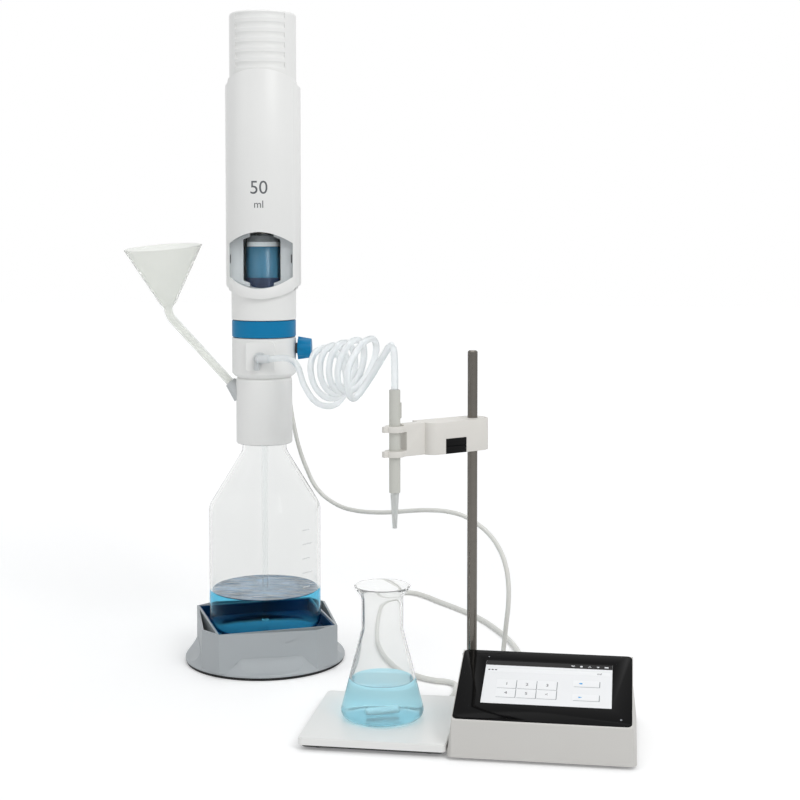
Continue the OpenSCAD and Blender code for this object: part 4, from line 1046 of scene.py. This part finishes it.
class TITRATOR_OT_carried_nodes(TitratorOperator, bpy.types.Operator):
    """Give every solid that stays its finish"""

    bl_idname = "titrator.carried_nodes"
    bl_label = "Carried solids"

    def execute(self, context):
        finish_of = {
            "shell": "neck_adapter valve_block lower_housing top_cap barrel_collar stirrer_top",
            "housing": "control_base_cover",
            "cradle": "bottle_cradle", "blue": "lock_ring",
            "rubber": "stand_foot_pad control_feet stirrer_feet",
            "ptfe": "outlet_elbow stir_bar", "bush": "port_bush",
            "dark": "valve_spindle motor_plate rod_socket stirrer_base "
                    "head_cable_plug stirrer_cable_plug",
            "cable": "head_cable_gland stirrer_cable_gland",
            "thin_glass": "window_cover dip_tube", "seal": "piston_seal", "piston": "piston",
            "steel": "piston_rod lead_screw guide_rods support_rod", "brass": "screw_nut",
            "motor": "motor", "arm": "clamp_bush", "tip": "tip_body", "nozzle": "tip_nozzle",
            "screen": "display_module",
        }
        for finish, names in finish_of.items():
            for name in names.split():
                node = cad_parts[name]
                node.data.materials.clear()
                node.data.materials.append(FINISHES[finish])
        return {"FINISHED"}


class TITRATOR_OT_stage(TitratorOperator, bpy.types.Operator):
    """Add the floor, the lamps and the surroundings"""

    bl_idname = "titrator.stage"
    bl_label = "Stage"

    def execute(self, context):
        put_down()
        bpy.ops.mesh.primitive_plane_add(size=12, location=(0.1, 0, -0.0002))
        floor = context.object
        floor.name = "floor"
        made = Finish("floor")
        made.set(Base_Color=(0.9, 0.9, 0.9), Roughness=0.9, Specular_IOR_Level=0.1)
        path = made.add("LightPath")
        seen = made.add("Math", operation="MAXIMUM")
        made.link(path.outputs["Is Camera Ray"], seen.inputs[0])
        made.link(path.outputs["Is Transmission Ray"], seen.inputs[1])
        glow = made.add("Emission")
        reach = made.add("VectorMath", operation="LENGTH")
        fade = made.add("MapRange")
        for k, value in enumerate((0.36, 2.2, 0.2, 0.52)):
            fade.inputs[k + 1].default_value = value
        made.link(made.coords, reach.inputs[0])
        made.link(reach.outputs["Value"], fade.inputs[0])
        made.link(fade.outputs[0], glow.inputs["Strength"])
        none = made.add("Emission", Strength=0.0)
        pick = made.add("MixShader")
        both = made.add("AddShader")
        made.link(seen.outputs[0], pick.inputs[0])
        made.link(none.outputs[0], pick.inputs[1])
        made.link(glow.outputs[0], pick.inputs[2])
        made.link(made.shader.outputs[0], both.inputs[0])
        made.link(pick.outputs[0], both.inputs[1])
        made.link(both.outputs[0], made.out.inputs["Surface"])
        floor.data.materials.append(made.material)

        world = bpy.data.worlds.new("surroundings")
        context.scene.world = world
        world.use_nodes = True
        tree = world.node_tree
        tree.nodes.clear()
        add, link = tree.nodes.new, tree.links.new
        out = add("ShaderNodeOutputWorld")
        path = add("ShaderNodeLightPath")
        lit = add("ShaderNodeBackground")
        lit.inputs[0].default_value = (0.97, 0.985, 1, 1)
        lit.inputs[1].default_value = 0.54
        seen = add("ShaderNodeBackground")
        seen.inputs[0].default_value = (1, 1, 1, 1)
        seen.inputs[1].default_value = 1.0
        first = add("ShaderNodeMath")
        first.operation = "MAXIMUM"
        either = add("ShaderNodeMath")
        either.operation = "MAXIMUM"
        mix = add("ShaderNodeMixShader")
        link(path.outputs["Is Camera Ray"], first.inputs[0])
        link(path.outputs["Is Glossy Ray"], first.inputs[1])
        link(first.outputs[0], either.inputs[0])
        link(path.outputs["Is Transmission Ray"], either.inputs[1])
        link(either.outputs[0], mix.inputs[0])
        link(lit.outputs[0], mix.inputs[1])
        link(seen.outputs[0], mix.inputs[2])
        link(mix.outputs[0], out.inputs[0])

        for name, place, power, size in (
            ("key_lamp", (1.5, -1.5, 1.7), 19, 1.0),
            ("fill_lamp", (-1.6, -1.2, 1.2), 5, 1.4),
            ("top_lamp", (0.1, 0.4, 2.2), 11, 1.6),
        ):
            data = bpy.data.lights.new(name, "AREA")
            data.energy, data.size = power, size
            lamp = bpy.data.objects.new(name, data)
            context.scene.collection.objects.link(lamp)
            lamp.location = place
            aim = Vector((0.1, -0.1, 0.25)) - Vector(place)
            lamp.rotation_euler = aim.to_track_quat("-Z", "Y").to_euler()
        return {"FINISHED"}


class TITRATOR_PT_panel(bpy.types.Panel):
    bl_label = "Automatic titrator"
    bl_idname = "TITRATOR_PT_panel"
    bl_space_type = "VIEW_3D"
    bl_region_type = "UI"
    bl_category = "Titrator"

    def draw(self, context):
        layout = self.layout
        for group in (context.scene.titrator_sizes, context.scene.titrator_finishes):
            for name in group.__annotations__:
                layout.prop(group, name)
        for piece in MAKERS:
            layout.operator(piece.bl_idname)


MAKERS = (
    TITRATOR_OT_camera, TITRATOR_OT_finishes, TITRATOR_OT_cables, TITRATOR_OT_dosing_tube,
    TITRATOR_OT_glassware, TITRATOR_OT_bottle_stand, TITRATOR_OT_liquids, TITRATOR_OT_head,
    TITRATOR_OT_tip_holder, TITRATOR_OT_control_unit, TITRATOR_OT_carried_nodes,
    TITRATOR_OT_stage,
)


def register():
    for cls in (TitratorFinishes, TitratorSizes, *MAKERS, TITRATOR_PT_panel):
        bpy.utils.register_class(cls)
    bpy.types.Scene.titrator_finishes = PointerProperty(type=TitratorFinishes)
    bpy.types.Scene.titrator_sizes = PointerProperty(type=TitratorSizes)


def unregister():
    del bpy.types.Scene.titrator_sizes
    del bpy.types.Scene.titrator_finishes
    for cls in reversed((TitratorFinishes, TitratorSizes, *MAKERS, TITRATOR_PT_panel)):
        bpy.utils.unregister_class(cls)


def main():
    register()
    bpy.ops.titrator.camera()
    bpy.ops.titrator.finishes()
    bpy.ops.titrator.cables()
    bpy.ops.titrator.dosing_tube()
    bpy.ops.titrator.glassware()
    bpy.ops.titrator.bottle_stand()
    bpy.ops.titrator.liquids()
    bpy.ops.titrator.head()
    bpy.ops.titrator.tip_holder()
    bpy.ops.titrator.control_unit()
    bpy.ops.titrator.carried_nodes()
    bpy.ops.titrator.stage()


if __name__ == "__main__":
    main()
